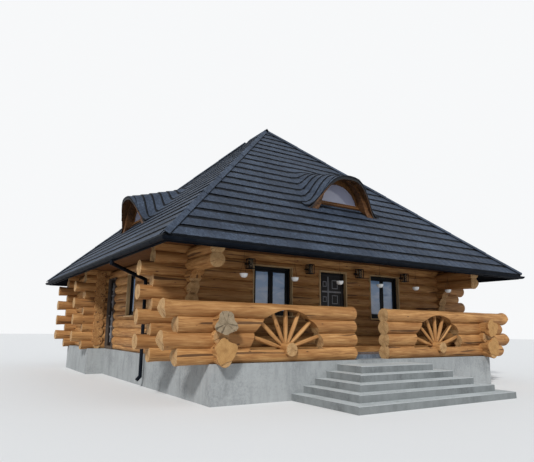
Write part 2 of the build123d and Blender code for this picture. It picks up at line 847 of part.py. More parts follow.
pipe_x = -front_room_half_width - pipe_stand_off
pipe_y = pipe_wall_run - middle_run
outlet_z = gutter_z - gutter_radius - fit_gap
with BuildPart() as downspout:
    with BuildLine() as route:
        Polyline(
            (-gutter_x, pipe_outlet_run - middle_run, outlet_z),
            (-gutter_x, pipe_outlet_run - middle_run, outlet_z - pipe_outlet_length),
            (pipe_x, pipe_y, pipe_elbow_height), (pipe_x, pipe_y, pipe_shoe_height),
            (pipe_x - pipe_shoe_drop, pipe_y, pipe_shoe_height - pipe_shoe_drop))
    with BuildSketch(Plane(origin=route.line @ 0, z_dir=route.line % 0)):
        Circle(pipe_radius)
        Circle(pipe_radius - pipe_wall, mode=Mode.SUBTRACT)
    sweep(transition=Transition.RIGHT)
    bracket_start = -front_room_half_width - log_radius - fit_gap
    bracket_end = pipe_x + pipe_radius - pipe_wall
    for row in pipe_bracket_rows:
        with Locations(((bracket_start + bracket_end) / 2, pipe_y, side_log_height(row))):
            Box(bracket_start - bracket_end, pipe_bracket_height, pipe_bracket_height)
downspout.part.label = "downspout"
export_step(downspout.part, "parts/downspout.step")


# Windows and doors are drawn standing at the origin: X along the wall, Y inward
# from its centre line, and Z up.
def frame_boards(half_width, z0, z1, border, y0, y1, x=0):
    """Two upright boards and the head and foot boards between them."""
    inner = half_width - border
    return [
        box_between(x - half_width, x - inner, y0, y1, z0, z1),
        box_between(x + inner, x + half_width, y0, y1, z0, z1),
        box_between(x - inner + fit_gap, x + inner - fit_gap, y0, y1, z0, z0 + border),
        box_between(x - inner + fit_gap, x + inner - fit_gap, y0, y1, z1 - border, z1)]


def window(width, leaves):
    """The joinery of a window and its panes, as two lists."""
    height = opening_head - window_sill
    lining_reach = log_radius + lining_projection
    half = width / 2 - fit_gap
    joinery = frame_boards(half, fit_gap, height - fit_gap, lining_thickness, -lining_reach, lining_reach)
    joinery.append(box_between(
        -half - sill_overlap, half + sill_overlap, -lining_reach - fit_gap - sill_projection, -lining_reach - fit_gap,
        -sill_thickness + lining_thickness, lining_thickness))
    inset = 2 * fit_gap + lining_thickness
    half -= fit_gap + lining_thickness
    joinery += frame_boards(half, inset, height - inset, frame_width, -frame_depth / 2, frame_depth / 2)
    inset += fit_gap + frame_width
    half -= fit_gap + frame_width
    leaf = (2 * half - (leaves - 1) * fit_gap) / leaves
    panes = []
    pane_inset = inset + sash_border + fit_gap
    pane_half = leaf / 2 - sash_border - fit_gap
    for index in range(leaves):
        x = -half + leaf / 2 + index * (leaf + fit_gap)
        joinery += frame_boards(
            leaf / 2, inset, height - inset, sash_border, -sash_thickness / 2, sash_thickness / 2, x)
        panes.append(box_between(
            x - pane_half, x + pane_half, -glass_thickness / 2, glass_thickness / 2, pane_inset, height - pane_inset))
    return joinery, panes


def place(solids, x, y, z, turn):
    return [solid.moved(Location((x, y, z), (0, 0, turn))) for solid in solids]


front_joinery, front_panes = window(window_width, 2)
side_joinery, side_panes = window(side_window_width, 1)
side_window_mid = sum(side_window_y) / 2
for word, joinery, panes, places in (
        ("front", front_joinery, front_panes, [(x, front_y, 0) for x in window_xs]),
        ("back", front_joinery, front_panes, [(x, back_y, 180) for x in back_window_xs]),
        ("side", side_joinery, side_panes, [
            (-front_room_half_width, side_window_mid, -90), (front_room_half_width, side_window_mid, 90)])):
    save(f"{word}_windows", [piece for x, y, turn in places for piece in place(joinery, x, y, sill_z, turn)])
    save(f"{word}_glass", [piece for x, y, turn in places for piece in place(panes, x, y, sill_z, turn)])


def door_frame(width, hinge):
    """Lining, stops, hinge knuckles and threshold; the leaf hangs at the left if hinge is -1."""
    reach = log_radius + lining_projection
    half = width / 2 - fit_gap
    inner = half - door_liner
    foot = floor_thickness + fit_gap
    top_z = opening_head - fit_gap
    head = top_z - door_liner
    stop_y = door_recess - log_radius + door_leaf_thickness + door_stop_gap
    stop_end = stop_y + door_stop_depth
    pieces = [
        box_between(-half, half, -log_radius, log_radius, 0, floor_thickness),
        box_between(-inner + fit_gap, inner - fit_gap, -reach, reach, head, top_z),
        box_between(
            -inner + fit_gap, inner - fit_gap, stop_y, stop_end, head - fit_gap - door_stop_width, head - fit_gap)]
    for side in (-1, 1):
        pieces.append(box_between(
            min(side * inner, side * half), max(side * inner, side * half), -reach, reach, foot, top_z))
        outer = side * (inner - fit_gap)
        pieces.append(box_between(
            min(outer, outer - side * door_stop_width), max(outer, outer - side * door_stop_width),
            stop_y, stop_end, foot, head - 2 * fit_gap - door_stop_width))
    knuckle_radius = door_play - fit_gap
    for height in hinge_heights:
        with BuildPart() as knuckle:
            with Locations((
                    hinge * (inner - door_play), door_recess - log_radius - hinge_stand_off,
                    floor_thickness + height)):
                Cylinder(knuckle_radius, hinge_length)
        pieces.append(knuckle.part)
    return pieces


def door_leaf(width, hinge):
    """A panelled leaf, and on each side a rose, a spindle and a lever."""
    inner = width / 2 - fit_gap - door_liner
    hinge_x = hinge * (inner - door_play)
    free_x = -hinge * (inner - door_free_play)
    foot = floor_thickness + door_foot_play
    head = opening_head - fit_gap - door_liner - door_play
    face = door_recess - log_radius
    leaf_width = abs(hinge_x - free_x)
    panel_width = (leaf_width - 3 * door_border) / 2
    panel_height = (head - foot - 3 * door_border) / 2
    lever_x = free_x + hinge * handle_inset
    lever_z = floor_thickness + handle_height
    with BuildPart() as leaf:
        with Locations(((hinge_x + free_x) / 2, face + door_leaf_thickness / 2, (foot + head) / 2)):
            Box(leaf_width, door_leaf_thickness, head - foot)
            for way in (-1, 1):
                for rise in (-1, 1):
                    with Locations((0, way * door_leaf_thickness / 2, rise * (panel_height + door_border) / 2)):
                        with GridLocations(panel_width + door_border, 1, 2, 1):
                            Box(panel_width, 2 * door_panel_depth, panel_height, mode=Mode.SUBTRACT)
    pieces = [leaf.part]
    spindle = handle_reach - rose_thickness - 3 * fit_gap
    for way, surface in ((-1, face), (1, face + door_leaf_thickness)):
        with BuildPart() as furniture:
            with Locations((lever_x, surface + way * (fit_gap + rose_thickness / 2), lever_z)):
                Cylinder(rose_radius, rose_thickness, rotation=(90, 0, 0))
            with Locations((lever_x, surface + way * (2 * fit_gap + rose_thickness + spindle / 2), lever_z)):
                Cylinder(handle_radius, spindle, rotation=(90, 0, 0))
            with Locations((
                    lever_x + hinge * (handle_length / 2 - handle_radius),
                    surface + way * (handle_reach + handle_radius / 2), lever_z)):
                Box(handle_length, handle_radius, 2 * handle_radius)
        pieces += furniture.part.solids()
    return pieces


front_door_mid = sum(front_door_x) / 2
side_door_mid = sum(side_door_y) / 2
save("front_door_frame", place(door_frame(door_width, -1), front_door_mid, front_y, top, 0))
save("front_door", place(door_leaf(door_width, -1), front_door_mid, front_y, top, 0))
save("side_door_frame", place(door_frame(side_door_width, 1), -front_room_half_width, side_door_mid, top, -90))
save("side_door", place(door_leaf(side_door_width, 1), -front_room_half_width, side_door_mid, top, -90))

# The lanterns on the front wall and the bowls that hang over the rail.
lantern_y = front_y - log_radius - lantern_arm_length - lantern_width / 2
lantern_z = cross_log_height(lantern_log_row)
cages = []
lights = []
for spacing in lantern_spacings:
    x = lantern_centre_x + spacing
    with BuildPart() as cage:
        for end in (-1, 1):
            with Locations((x, lantern_y, lantern_z + end * (lantern_height - lantern_plate) / 2)):
                Box(lantern_width, lantern_width, lantern_plate)
        with Locations((x, lantern_y, lantern_z)):
            post_step = lantern_width - lantern_post
            with GridLocations(post_step, post_step, 2, 2):
                Box(lantern_post, lantern_post, lantern_height)
        arm = lantern_arm_length - 2 * fit_gap
        with Locations((x, front_y - log_radius - lantern_arm_length / 2, lantern_z)):
            Box(lantern_width, arm, lantern_arm_height)
    cages.append(cage.part)
    lights.append(box_between(
        x - lantern_glass / 2, x + lantern_glass / 2, lantern_y - lantern_glass / 2, lantern_y + lantern_glass / 2,
        lantern_z - lantern_height / 2 + lantern_plate + fit_gap,
        lantern_z + lantern_height / 2 - lantern_plate - fit_gap))
save("lanterns", cages)
save("lantern_glass", lights)

bowls = []
for index in range(pot_count):
    x = pot_centre_x + (index - (pot_count - 1) / 2) * pot_spacing
    rim = top + pot_rim_height
    rod = wall_ceiling - rim - 2 * fit_gap
    with BuildPart() as bowl:
        with BuildSketch(Plane(origin=(x, rail_y + pot_run, rim), x_dir=(1, 0, 0), z_dir=(0, -1, 0))):
            with BuildLine():
                Polyline((0, 0), *[
                    (pot_radius * cos(radians(angle)), -pot_radius * sin(radians(angle)))
                    for angle in (0, 30, 60, 90)], close=True)
            make_face()
        revolve(axis=Axis((x, rail_y + pot_run, rim), (0, 0, 1)))
        with Locations((x, rail_y + pot_run, rim + fit_gap + rod / 2)):
            Cylinder(pot_rod_radius, rod)
    bowls.append(bowl.part)
save("hanging_bowls", bowls)
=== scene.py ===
import math
import random

import bmesh
import bpy
from mathutils import Matrix, Vector


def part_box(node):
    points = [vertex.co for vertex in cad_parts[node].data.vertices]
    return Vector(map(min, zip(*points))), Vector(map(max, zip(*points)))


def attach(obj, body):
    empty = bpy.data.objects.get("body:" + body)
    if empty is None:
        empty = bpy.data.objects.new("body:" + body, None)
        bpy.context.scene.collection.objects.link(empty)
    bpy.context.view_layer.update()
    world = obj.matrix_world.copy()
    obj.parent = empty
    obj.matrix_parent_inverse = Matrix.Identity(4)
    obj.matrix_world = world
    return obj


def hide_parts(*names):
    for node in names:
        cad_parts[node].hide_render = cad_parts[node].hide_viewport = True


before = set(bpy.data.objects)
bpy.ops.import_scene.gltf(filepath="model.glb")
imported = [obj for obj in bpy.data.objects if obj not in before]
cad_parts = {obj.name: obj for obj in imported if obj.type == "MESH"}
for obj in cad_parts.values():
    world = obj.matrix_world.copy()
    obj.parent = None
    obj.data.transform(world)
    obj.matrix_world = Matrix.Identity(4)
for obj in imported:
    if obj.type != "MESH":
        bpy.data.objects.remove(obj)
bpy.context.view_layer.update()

bpy.context.scene.view_settings.view_transform = "Standard"
print("frame loaded:", len(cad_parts), "nodes")


def middleOf(node, axis):
    low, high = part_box(node)
    return (low[axis] + high[axis]) / 2


# Lines of the house that the pieces share, in metres, read from the frame.
plinthTop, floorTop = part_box("plinth")[1].z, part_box("house_floor")[1].z
ceiling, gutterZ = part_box("attic_floor")[0].z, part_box("gutters")[1].z
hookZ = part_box("hanging_bowls")[1].z
fasciaLow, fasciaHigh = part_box("fascia")
wallY = {name: middleOf(name, 1) for name in ("front_wall", "cross_wall", "back_wall")}
sideX = {name: middleOf(name, 0) for name in ("left_wall", "right_wall", "rear_left_wall", "rear_right_wall")}
railY = middleOf("terrace_rail_right", 1)
frontX = -0.12  # middle line of the steps, the rail gap and the front wall's openings


class Wire:

    def __init__(self, wiring, socket):
        self.wiring, self.socket = wiring, socket

    def math(self, kind, *others):
        return self.wiring.add("ShaderNodeMath", {"operation": kind}, dict(enumerate((self,) + others)))

    def __add__(self, other):
        return self.math("ADD", other)

    __radd__ = __add__

    def __sub__(self, other):
        return self.math("SUBTRACT", other)

    def __mul__(self, other):
        return self.math("MULTIPLY", other)

    def __rsub__(self, other):
        return self.wiring.add("ShaderNodeMath", {"operation": "SUBTRACT"}, {0: other, 1: self})

    def above(self, edge, soft=0.05):
        return self.wiring.add("ShaderNodeMapRange", {"interpolation_type": "SMOOTHSTEP"}, {
            "Value": self, "From Min": edge - soft, "From Max": edge + soft})


class Wiring:

    def __init__(self, tree):
        self.tree = tree
        tree.nodes.clear()

    def add(self, kind, settings=None, values=None, out=0):
        node = self.tree.nodes.new(kind)
        for key, value in (settings or {}).items():
            setattr(node, key, value)
        for key, value in (values or {}).items():
            if isinstance(value, Wire):
                self.tree.links.new(value.socket, node.inputs[key])
            else:
                node.inputs[key].default_value = value
        return Wire(self, node.outputs[out]) if len(node.outputs) else None


class Finish(Wiring):

    def __init__(self, name):
        self.material = bpy.data.materials.new(name)
        self.material.use_nodes = True
        super().__init__(self.material.node_tree)

    def attribute(self, name, out="Fac"):
        return self.add("ShaderNodeAttribute", {"attribute_name": name}, out=out)

    def ramp(self, value, stops):
        wire = self.add("ShaderNodeValToRGB", None, {"Fac": value}, out="Color")
        elements = wire.socket.node.color_ramp.elements
        for place, colour in stops[2:]:
            elements.new(place)
        for element, (place, colour) in zip(elements, stops):
            element.position, element.color = place, (*colour, 1)
        return wire

    def mix(self, share, *colours):
        first, second = ((*one, 1) if isinstance(one, tuple) else one for one in colours)
        return self.add("ShaderNodeMix", {"data_type": "RGBA"}, {0: share, 6: first, 7: second}, out=2)

    def place(self, scale=(1, 1, 1), source=None):
        source = source or self.add("ShaderNodeTexCoord", out="Object")
        return self.add("ShaderNodeMapping", None, {"Vector": source, "Scale": scale})

    def part(self, source, axis):
        return self.add("ShaderNodeSeparateXYZ", None, {0: source}, out=axis)

    def facing(self, axis):
        return self.part(self.add("ShaderNodeNewGeometry", out="True Normal"), axis)

    def noise(self, place, scale, detail=4.0, roughness=0.55, distortion=0.0):
        return self.add("ShaderNodeTexNoise", None, {
            "Vector": place, "Scale": scale, "Detail": detail, "Roughness": roughness,
            "Distortion": distortion})

    def spots(self, place, scale):
        return self.add("ShaderNodeTexVoronoi", None, {"Vector": place, "Scale": scale}, out="Distance")

    def close(self, colour, roughness=0.6, bump=None, strength=0.3, distance=0.01, **fixed):
        values = {"Base Color": colour, "Roughness": roughness}
        if bump:
            values["Normal"] = self.add("ShaderNodeBump", None, {
                "Height": bump, "Strength": strength, "Distance": distance})
        shader = self.add("ShaderNodeBsdfPrincipled", None, values)
        for key, value in fixed.items():
            shader.socket.node.inputs[key.replace("_", " ")].default_value = value
        self.add("ShaderNodeOutputMaterial", None, {"Surface": shader})
        return self.material


def shade(colour, factor, lift=0.0):
    return tuple(min(1, part * factor + lift) for part in colour)


def logSides():
    f = Finish("peeledLog")
    local = f.attribute("logPlace", "Vector")
    tone = f.attribute("tone")
    streak = f.noise(f.place((0.9, 13, 13), local), 1.6, 6, 0.62, 0.6)
    fine = f.noise(f.place((2.5, 70, 70), local), 1.4, 3)
    cloud = f.noise(f.place((0.8, 2.6, 2.6), local), 1.3, 3)
    honey = f.ramp(streak * 0.7 + fine * 0.3, [
        (0.31, (0.115, 0.050, 0.017)), (0.42, (0.315, 0.147, 0.048)), (0.55, (0.500, 0.262, 0.094)),
        (0.68, (0.69, 0.425, 0.190))])
    aged = f.mix(cloud.above(0.53, 0.12) * 0.5, honey, (0.27, 0.110, 0.030))
    shaded = f.mix(tone * 0.4, aged, (0.20, 0.080, 0.023))
    knot = (1 - f.spots(f.place((2.3, 5.6, 5.6), local), 1.0).above(0.085, 0.03)) * 0.85
    knotted = f.mix(knot, shaded, (0.07, 0.026, 0.009))
    crack = (1 - f.noise(f.place((0.35, 9, 9), local), 1.0, 2, 0.5, 0.3).above(0.352, 0.012)) * 0.8
    colour = f.mix(crack, knotted, (0.045, 0.018, 0.008))
    relief = streak * 0.6 + fine * 0.3 - crack * 0.8 - knot * 0.3
    return f.close(colour, 0.56 + fine * 0.2, relief, 0.55, 0.025, Specular_IOR_Level=0.3)


def logEnds(name, pale, middle, dark, split):
    f = Finish(name)
    local = f.attribute("logPlace", "Vector")
    flat = f.place((0, 1, 1), local)
    distance = f.add("ShaderNodeVectorMath", {"operation": "LENGTH"}, {0: flat}, out="Value")
    around = f.add("ShaderNodeVectorMath", {"operation": "NORMALIZE"}, {0: flat}, out="Vector")
    rings = ((distance + f.noise(flat, 9.0, 3) * 0.03) * 420.0).math("SINE") * 0.5 + 0.5
    cloud = f.noise(local, 12.0, 4)
    wood = f.ramp(rings * 0.4 + cloud * 0.6, [(0.2, dark), (0.5, middle), (0.8, pale)])
    rays = f.noise(around, 4.5, 3, 0.6)
    checks = (1 - (rays + (cloud - 0.5) * 0.25).above(split, 0.02)) * 0.7
    heart = (1 - distance.above(0.05, 0.04)) * 0.35
    colour = f.mix(heart, f.mix(checks, wood, shade(dark, 0.3)), shade(dark, 0.8))
    return f.close(colour, 0.8, rings * 0.3 - checks, 0.5, 0.015, Specular_IOR_Level=0.25)


def boardWood(name, dark, light, along="z", roughness=0.5):
    f = Finish(name)
    stretch = {"x": (1.2, 16, 16), "z": (16, 16, 1.2)}[along]
    grain = f.noise(f.place(stretch), 1.7, 6, 0.6, 0.7)
    fine = f.noise(f.place(tuple(4 * part for part in stretch)), 1.5, 3)
    cloud = f.noise(f.place(), 1.1, 2)
    between = tuple((a + b) / 2 for a, b in zip(dark, light))
    colour = f.ramp(grain * 0.7 + fine * 0.3, [(0.3, dark), (0.52, between), (0.7, light)])
    colour = f.mix(cloud.above(0.55, 0.2) * 0.3, colour, dark)
    relief = grain * 0.5 + fine * 0.4
    return f.close(colour, roughness + fine * 0.15, relief, 0.25, 0.01, Specular_IOR_Level=0.18)


def concrete(name, light, dark, streaks=1.0, riser=0.0):
    f = Finish(name)
    place = f.place()
    patch = f.noise(place, 1.1, 6, 0.65)
    fine = f.noise(place, 18.0, 6, 0.75)
    drip = f.noise(f.place((4, 4, 0.9)), 1.0, 5, 0.7)
    hole = 1 - f.spots(place, 22.0).above(0.10, 0.05)
    colour = f.ramp(patch * 0.45 + fine * 0.4 + drip * 0.15, [
        (0.3, dark), (0.5, light), (0.75, shade(light, 1.18))])
    colour = f.mix(drip.above(0.58, 0.16) * 0.35 * streaks, colour, shade(dark, 0.75))
    colour = f.mix(hole * 0.4, colour, shade(dark, 0.7))
    if riser:  # painted shade: the fronts of the steps are darker than their treads, mottled by the concrete's patches and drips
        upright = 1 - f.facing("Z").above(0.6, 0.2)
        riserShadeMottle = (patch * 0.9 + drip * 0.45 + fine * 0.45 - 0.1).math("MINIMUM", 1.0).math("MAXIMUM", 0.0)
        colour = f.mix(upright * riser * riserShadeMottle, colour, shade(dark, 0.4))
    return f.close(colour, 0.88, patch * 0.4 + fine * 0.6 - hole * 0.5, 0.5, 0.03, Specular_IOR_Level=0.25)


def floorTile():
    f = Finish("terraceTile")
    joints = f.add("ShaderNodeTexBrick", {"offset": 0.0}, {
        "Vector": f.place(), "Scale": 1.0, "Mortar Size": 0.006, "Brick Width": 0.4, "Row Height": 0.4,
        "Mortar Smooth": 0.1}, out="Fac")
    cloud = f.noise(f.place(), 5.0, 5, 0.7)
    # partly the tile's own grey, partly painted sky reflection: the colours are tinted blue
    colour = f.ramp(cloud, [(0.3, (0.075, 0.095, 0.12)), (0.7, (0.16, 0.19, 0.235))])
    colour = f.mix(joints, colour, (0.05, 0.055, 0.06))
    return f.close(colour, 0.18 + cloud * 0.2, cloud * 0.3 - joints, 0.3, 0.004)


def roofTile():
    f = Finish("slateTile")
    place = f.place()
    grit = f.noise(place, 60.0, 4, 0.7)
    patch = f.noise(place, 0.9, 4, 0.6)
    stroke = f.noise(f.place((11, 11, 3)), 1.6, 4, 0.6)
    # partly the tile's own charcoal, partly painted sky reflection: the colours are lifted and tinted blue
    colour = f.ramp(patch * 0.25 + stroke * 0.3 + grit * 0.45, [
        (0.36, (0.0130, 0.0190, 0.0305)), (0.5, (0.0335, 0.0455, 0.0690)), (0.62, (0.092, 0.122, 0.174))])
    colour = f.mix(f.attribute("tone") * 0.35, colour, (0.022, 0.030, 0.047))
    # painted shadow: the top of each course, under the next course's nose, is darkened near to black
    colour = f.mix(f.attribute("tuck").above(0.74, 0.05) * 0.96, colour, (0.0010, 0.0016, 0.0028))
    # painted shade: faces turned down or outwards, such as the course noses, are darkened near to black
    colour = f.mix((1 - f.facing("Z").above(0.25, 0.1)) * 0.85, colour, (0.002, 0.0024, 0.003))
    return f.close(colour, 0.55 + grit * 0.25, grit * 0.6 + stroke * 0.4, 0.5, 0.008, Specular_IOR_Level=0.16)


def coatedMetal(name, colour, roughness=0.38, sheen=0.3):
    f = Finish(name)
    place = f.place()
    dust = f.noise(place, 3.0, 4)
    dusty = f.mix(dust.above(0.58, 0.15) * 0.35, colour, shade(colour, 1.8, 0.015))
    grain = f.noise(place, 160.0, 2)
    return f.close(dusty, roughness + dust * 0.15, grain, 0.08, 0.002, Specular_IOR_Level=sheen)


def paneGlass(name, colour, alpha, roughness=0.03, sky=None):
    f = Finish(name)
    place = f.place()
    smear = f.noise(place, 2.0, 3)
    tint = f.mix(smear.above(0.55, 0.2) * 0.15, colour, shade(colour, 1.4, 0.02))
    if sky:  # painted sky reflection with painted clouds, paler towards the sill
        low = 1 - f.part(place, "Z").above(sillZ + 0.45, 0.55)
        cloud = f.noise(f.place((1.1, 1.1, 2.6)), 1.5, 6, 0.6, 0.8)
        tint = f.mix(low * 0.5 + cloud.above(0.52, 0.12) * 0.35, *sky)
    return f.close(tint, roughness + smear * 0.03, Alpha=alpha, Specular_IOR_Level=0.4, Coat_Weight=0.3)


def glazed(name, colour):
    f = Finish(name)
    cloud = f.noise(f.place(), 14.0, 3)
    stain = f.mix(cloud.above(0.6, 0.1) * 0.15, colour, shade(colour, 0.7))
    return f.close(stain, 0.22 + cloud * 0.1, cloud, 0.04, 0.002, Coat_Weight=0.4)


def dormerShell(name, darkLip):
    f = Finish(name)
    beside = f.part(f.place(), "X").math("ABSOLUTE").above(2.0)
    ahead, across = (f.facing(axis).math("ABSOLUTE").above(0.93, 0.03) for axis in "YX")
    lip = ahead * (1 - beside) + across * beside
    outside = (lip * darkLip + f.facing("Z").above(0.05, 0.03)).math("MINIMUM", 1.0)
    grain = f.noise(f.place((5, 5, 9)), 3.0, 5, 0.6, 0.8)
    # brown wood, darkened further as painted shade under the hood
    wood = f.ramp(grain, [(0.3, (0.034, 0.014, 0.006)), (0.7, (0.150, 0.066, 0.022))])
    colour = f.mix(outside, wood, (0.004, 0.005, 0.007))
    return f.close(colour, 0.6, grain, 0.2, 0.01, Specular_IOR_Level=0.3)


def paleFloor(colour):
    f = Finish("paleFloor")
    return f.close(f.mix(f.noise(f.place(), 0.6, 3) * 0.05, colour, (0.7, 0.7, 0.7)), 0.9)


openings = {
    "head": 2.27, "sill": 1.0, "windowWidth": 1.19, "windowSpacing": 1.96, "doorWidth": 0.97,
    "sideWindowY": (-0.02015, 0.75985), "sideDoorY": (2.03985, 2.83985), "innerDoor": 0.5, "threshold": -0.1}
headZ, sillZ = plinthTop + openings["head"], plinthTop + openings["sill"]
studio = {
    "sun": {"strength": 2.7, "angle": 8, "from": (-0.80, -0.80, 0.82)},
    "fill": {"strength": 0.2, "angle": 60, "from": (0.9, -1.0, 0.5)},
    "ambient": 0.46, "sky": (0.86, 0.92, 1.0), "backdrop": (0.93, 0.94, 0.95), "floor": (0.80, 0.80, 0.79)}
finish = {
    "log": logSides(),
    "end": logEnds("sawnLogEnd", (0.60, 0.40, 0.20), (0.45, 0.265, 0.115), (0.27, 0.135, 0.05), 0.36),
    "root": logEnds("greyRootEnd", (0.40, 0.32, 0.215), (0.29, 0.22, 0.14), (0.17, 0.12, 0.07), 0.41),
    "burl": logEnds("burlWood", (0.55, 0.33, 0.13), (0.42, 0.225, 0.078), (0.27, 0.13, 0.042), 0.27),
    "soffit": boardWood("soffitBoard", (0.075, 0.028, 0.009), (0.20, 0.085, 0.027), "x"),
    "lining": boardWood("paleLining", (0.36, 0.23, 0.11), (0.60, 0.42, 0.23)),
    "door": boardWood("darkDoor", (0.004, 0.0035, 0.004), (0.014, 0.011, 0.011), roughness=0.35),
    "inlay": boardWood("doorInlay", (0.15, 0.15, 0.16), (0.30, 0.30, 0.315), roughness=0.4),
    "doorFrame": boardWood("doorFrameWood", (0.055, 0.042, 0.034), (0.14, 0.105, 0.08)),
    # brown wood of the dormer walls, darkened further as painted shade
    "dormer": boardWood("dormerWood", (0.055, 0.024, 0.009), (0.22, 0.10, 0.034)),
    "houseFloor": boardWood("floorBoard", (0.16, 0.12, 0.09), (0.34, 0.27, 0.21), "x", 0.28),
    "terraceFloor": floorTile(),
    "plinth": concrete("plinthConcrete", (0.35, 0.365, 0.365), (0.17, 0.18, 0.185), 1.3),
    "steps": concrete("stepConcrete", (0.49, 0.52, 0.52), (0.25, 0.27, 0.27), 0.6, 0.9),
    "tile": roofTile(),
    "slab": coatedMetal("slabFelt", (0.004, 0.005, 0.007), 0.8, 0.1),
    "black": coatedMetal("blackCoatedMetal", (0.003, 0.005, 0.009), 0.55, 0.06),
    "anthracite": coatedMetal("anthraciteFrame", (0.004, 0.005, 0.007), 0.4, 0.12),
    "steel": coatedMetal("dullSteel", (0.30, 0.30, 0.31), 0.35),
    "glass": paneGlass("windowGlass", (0.10, 0.14, 0.20), 0.9, 0.05, [(0.27, 0.43, 0.7), (0.78, 0.84, 0.92)]),
    # painted sky reflection: the dormer glass is coloured pale lilac
    "dormerGlass": paneGlass("dormerGlass", (0.35, 0.36, 0.47), 0.9, 0.08),
    "lamp": paneGlass("lanternGlass", (0.12, 0.10, 0.07), 0.5, 0.25),
    "bowl": glazed("whiteBowl", (0.80, 0.80, 0.79)),
    "soil": concrete("pottingSoil", (0.05, 0.032, 0.02), (0.02, 0.014, 0.01), 0.0),
    "shell": dormerShell("dormerShell", 0.0),
    "hood": dormerShell("dormerHood", 1.0),
    "floor": paleFloor(studio["floor"]),
}
print("finishes made:", len(finish))


def growingTree(name, inputs):
    tree = bpy.data.node_groups.new(name, "GeometryNodeTree")
    for label, kind in {"Geometry": "Geometry", **inputs}.items():
        tree.interface.new_socket(label, in_out="INPUT", socket_type=f"NodeSocket{kind}")
    tree.interface.new_socket("Geometry", in_out="OUTPUT", socket_type="NodeSocketGeometry")
    g = Wiring(tree)
    return g, {socket.name: Wire(g, socket) for socket in tree.nodes.new("NodeGroupInput").outputs}


def endTree(g, geometry, material):
    real = g.add("GeometryNodeRealizeInstances", None, {"Geometry": geometry})
    coat = g.add("GeometryNodeSetMaterial", None, {"Geometry": real, "Material": material})
    g.add("NodeGroupOutput", None, {0: coat})
    return g.tree


def named(g, name, kind):
    return g.add("GeometryNodeInputNamedAttribute", {"data_type": kind}, {"Name": name})


def logTree():
    g, given = growingTree("logSweep", {
        "Sides": "Int", "Lump height": "Float", "Lump size": "Float", "Seed": "Float",
        "Material": "Material"})
    line = g.add("GeometryNodeMeshToCurve", None, {"Mesh": given["Geometry"]})
    section = g.add("GeometryNodeCurvePrimitiveCircle", None, {"Resolution": given["Sides"], "Radius": 1.0})
    tube = g.add("GeometryNodeCurveToMesh", None, {
        "Curve": line, "Profile Curve": section, "Scale": named(g, "logRadius", "FLOAT"), "Fill Caps": True})
    lump = g.add("ShaderNodeTexNoise", {"noise_dimensions": "4D"}, {
        "W": given["Seed"], "Scale": given["Lump size"], "Detail": 2.0})
    push = g.add("ShaderNodeVectorMath", {"operation": "SCALE"}, {
        0: g.add("GeometryNodeInputNormal"), "Scale": (lump - 0.5) * given["Lump height"]})
    lumpy = g.add("GeometryNodeSetPosition", None, {"Geometry": tube, "Offset": push})
    return endTree(g, lumpy, given["Material"])


def copyTree():
    g, given = growingTree("copiesOnPoints", {"Piece": "Object", "Material": "Material"})
    piece = g.add("GeometryNodeObjectInfo", None, {"Object": given["Piece"]}, out="Geometry")
    copied = g.add("GeometryNodeInstanceOnPoints", None, {
        "Points": given["Geometry"], "Instance": piece,
        "Rotation": named(g, "turn", "FLOAT_VECTOR"), "Scale": named(g, "size", "FLOAT_VECTOR")})
    return endTree(g, copied, given["Material"])


trees = {"log": logTree(), "copies": copyTree()}


def newObject(name, data):
    thing = bpy.data.objects.new(name, data)
    bpy.context.collection.objects.link(thing)
    return thing


def evaluated(thing):
    graph = bpy.context.evaluated_depsgraph_get()
    mesh = bpy.data.meshes.new_from_object(thing.evaluated_get(graph))
    bpy.data.objects.remove(thing)
    return mesh


def grow(tree, mesh, kind, inputs):
    thing = newObject("growing", mesh)
    modifier = thing.modifiers.new("grow", "NODES")
    modifier.node_group = trees[tree]
    inputs["Material"] = finish[kind]
    for item in trees[tree].interface.items_tree:
        if item.in_out == "INPUT" and item.name in inputs:
            modifier[item.identifier] = inputs[item.name]
    return coated(evaluated(thing), kind)


def carve(mesh, cuts):
    thing = newObject("carving", mesh)
    for cut in cuts:
        modifier = thing.modifiers.new("cut", "BOOLEAN")
        modifier.operation, modifier.solver, modifier.object = "DIFFERENCE", "EXACT", cut
    return evaluated(thing)


def coated(mesh, *kinds):
    mesh.materials.clear()
    for kind in kinds:
        mesh.materials.append(finish[kind])
    return mesh


def finishPiece(name, mesh, slotName, *replaced, body="house", sharp=40):
    mesh.set_sharp_from_angle(angle=math.radians(sharp))
    thing = newObject(name, mesh)
    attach(thing, body)
    if replaced:
        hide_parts(*replaced)


def joined(meshes):
    materials = list(dict.fromkeys(material for mesh in meshes for material in mesh.materials))
    whole = bmesh.new()
    for mesh in meshes:
        order = [materials.index(material) for material in mesh.materials]
        start = len(whole.faces)
        whole.from_mesh(mesh)
        whole.faces.ensure_lookup_table()
        for face in whole.faces[start:]:
            face.material_index = order[min(face.material_index, len(order) - 1)]
            face.smooth = True
    result = meshFrom(whole)
    for material in materials:
        result.materials.append(material)
    return result


def meshFrom(shape):
    mesh = bpy.data.meshes.new("piece")
    shape.to_mesh(mesh)
    shape.free()
    return mesh


def boxMesh(low, high, bevel=0.0):
    shape = bmesh.new()
    bmesh.ops.create_cube(shape, size=1)
    low, high = Vector(low), Vector(high)
    for vertex in shape.verts:
        vertex.co = Vector((vertex.co[k] * (high[k] - low[k]) + (high[k] + low[k]) / 2 for k in range(3)))
    if bevel:
        bmesh.ops.bevel(shape, geom=shape.edges[:], offset=bevel, segments=2, affect="EDGES", profile=0.6)
    return meshFrom(shape)


def stand(shape, centre, axis):
    turn = Vector(axis).to_track_quat("Z", "Y").to_matrix().to_4x4()
    bmesh.ops.transform(shape, matrix=Matrix.Translation(centre) @ turn, verts=shape.verts)


def cylinderMesh(centre, axis, radius, length, sides):
    shape = bmesh.new()
    bmesh.ops.create_cone(shape, cap_ends=True, segments=sides, radius1=radius, radius2=radius, depth=length)
    stand(shape, centre, axis)
    return meshFrom(shape)


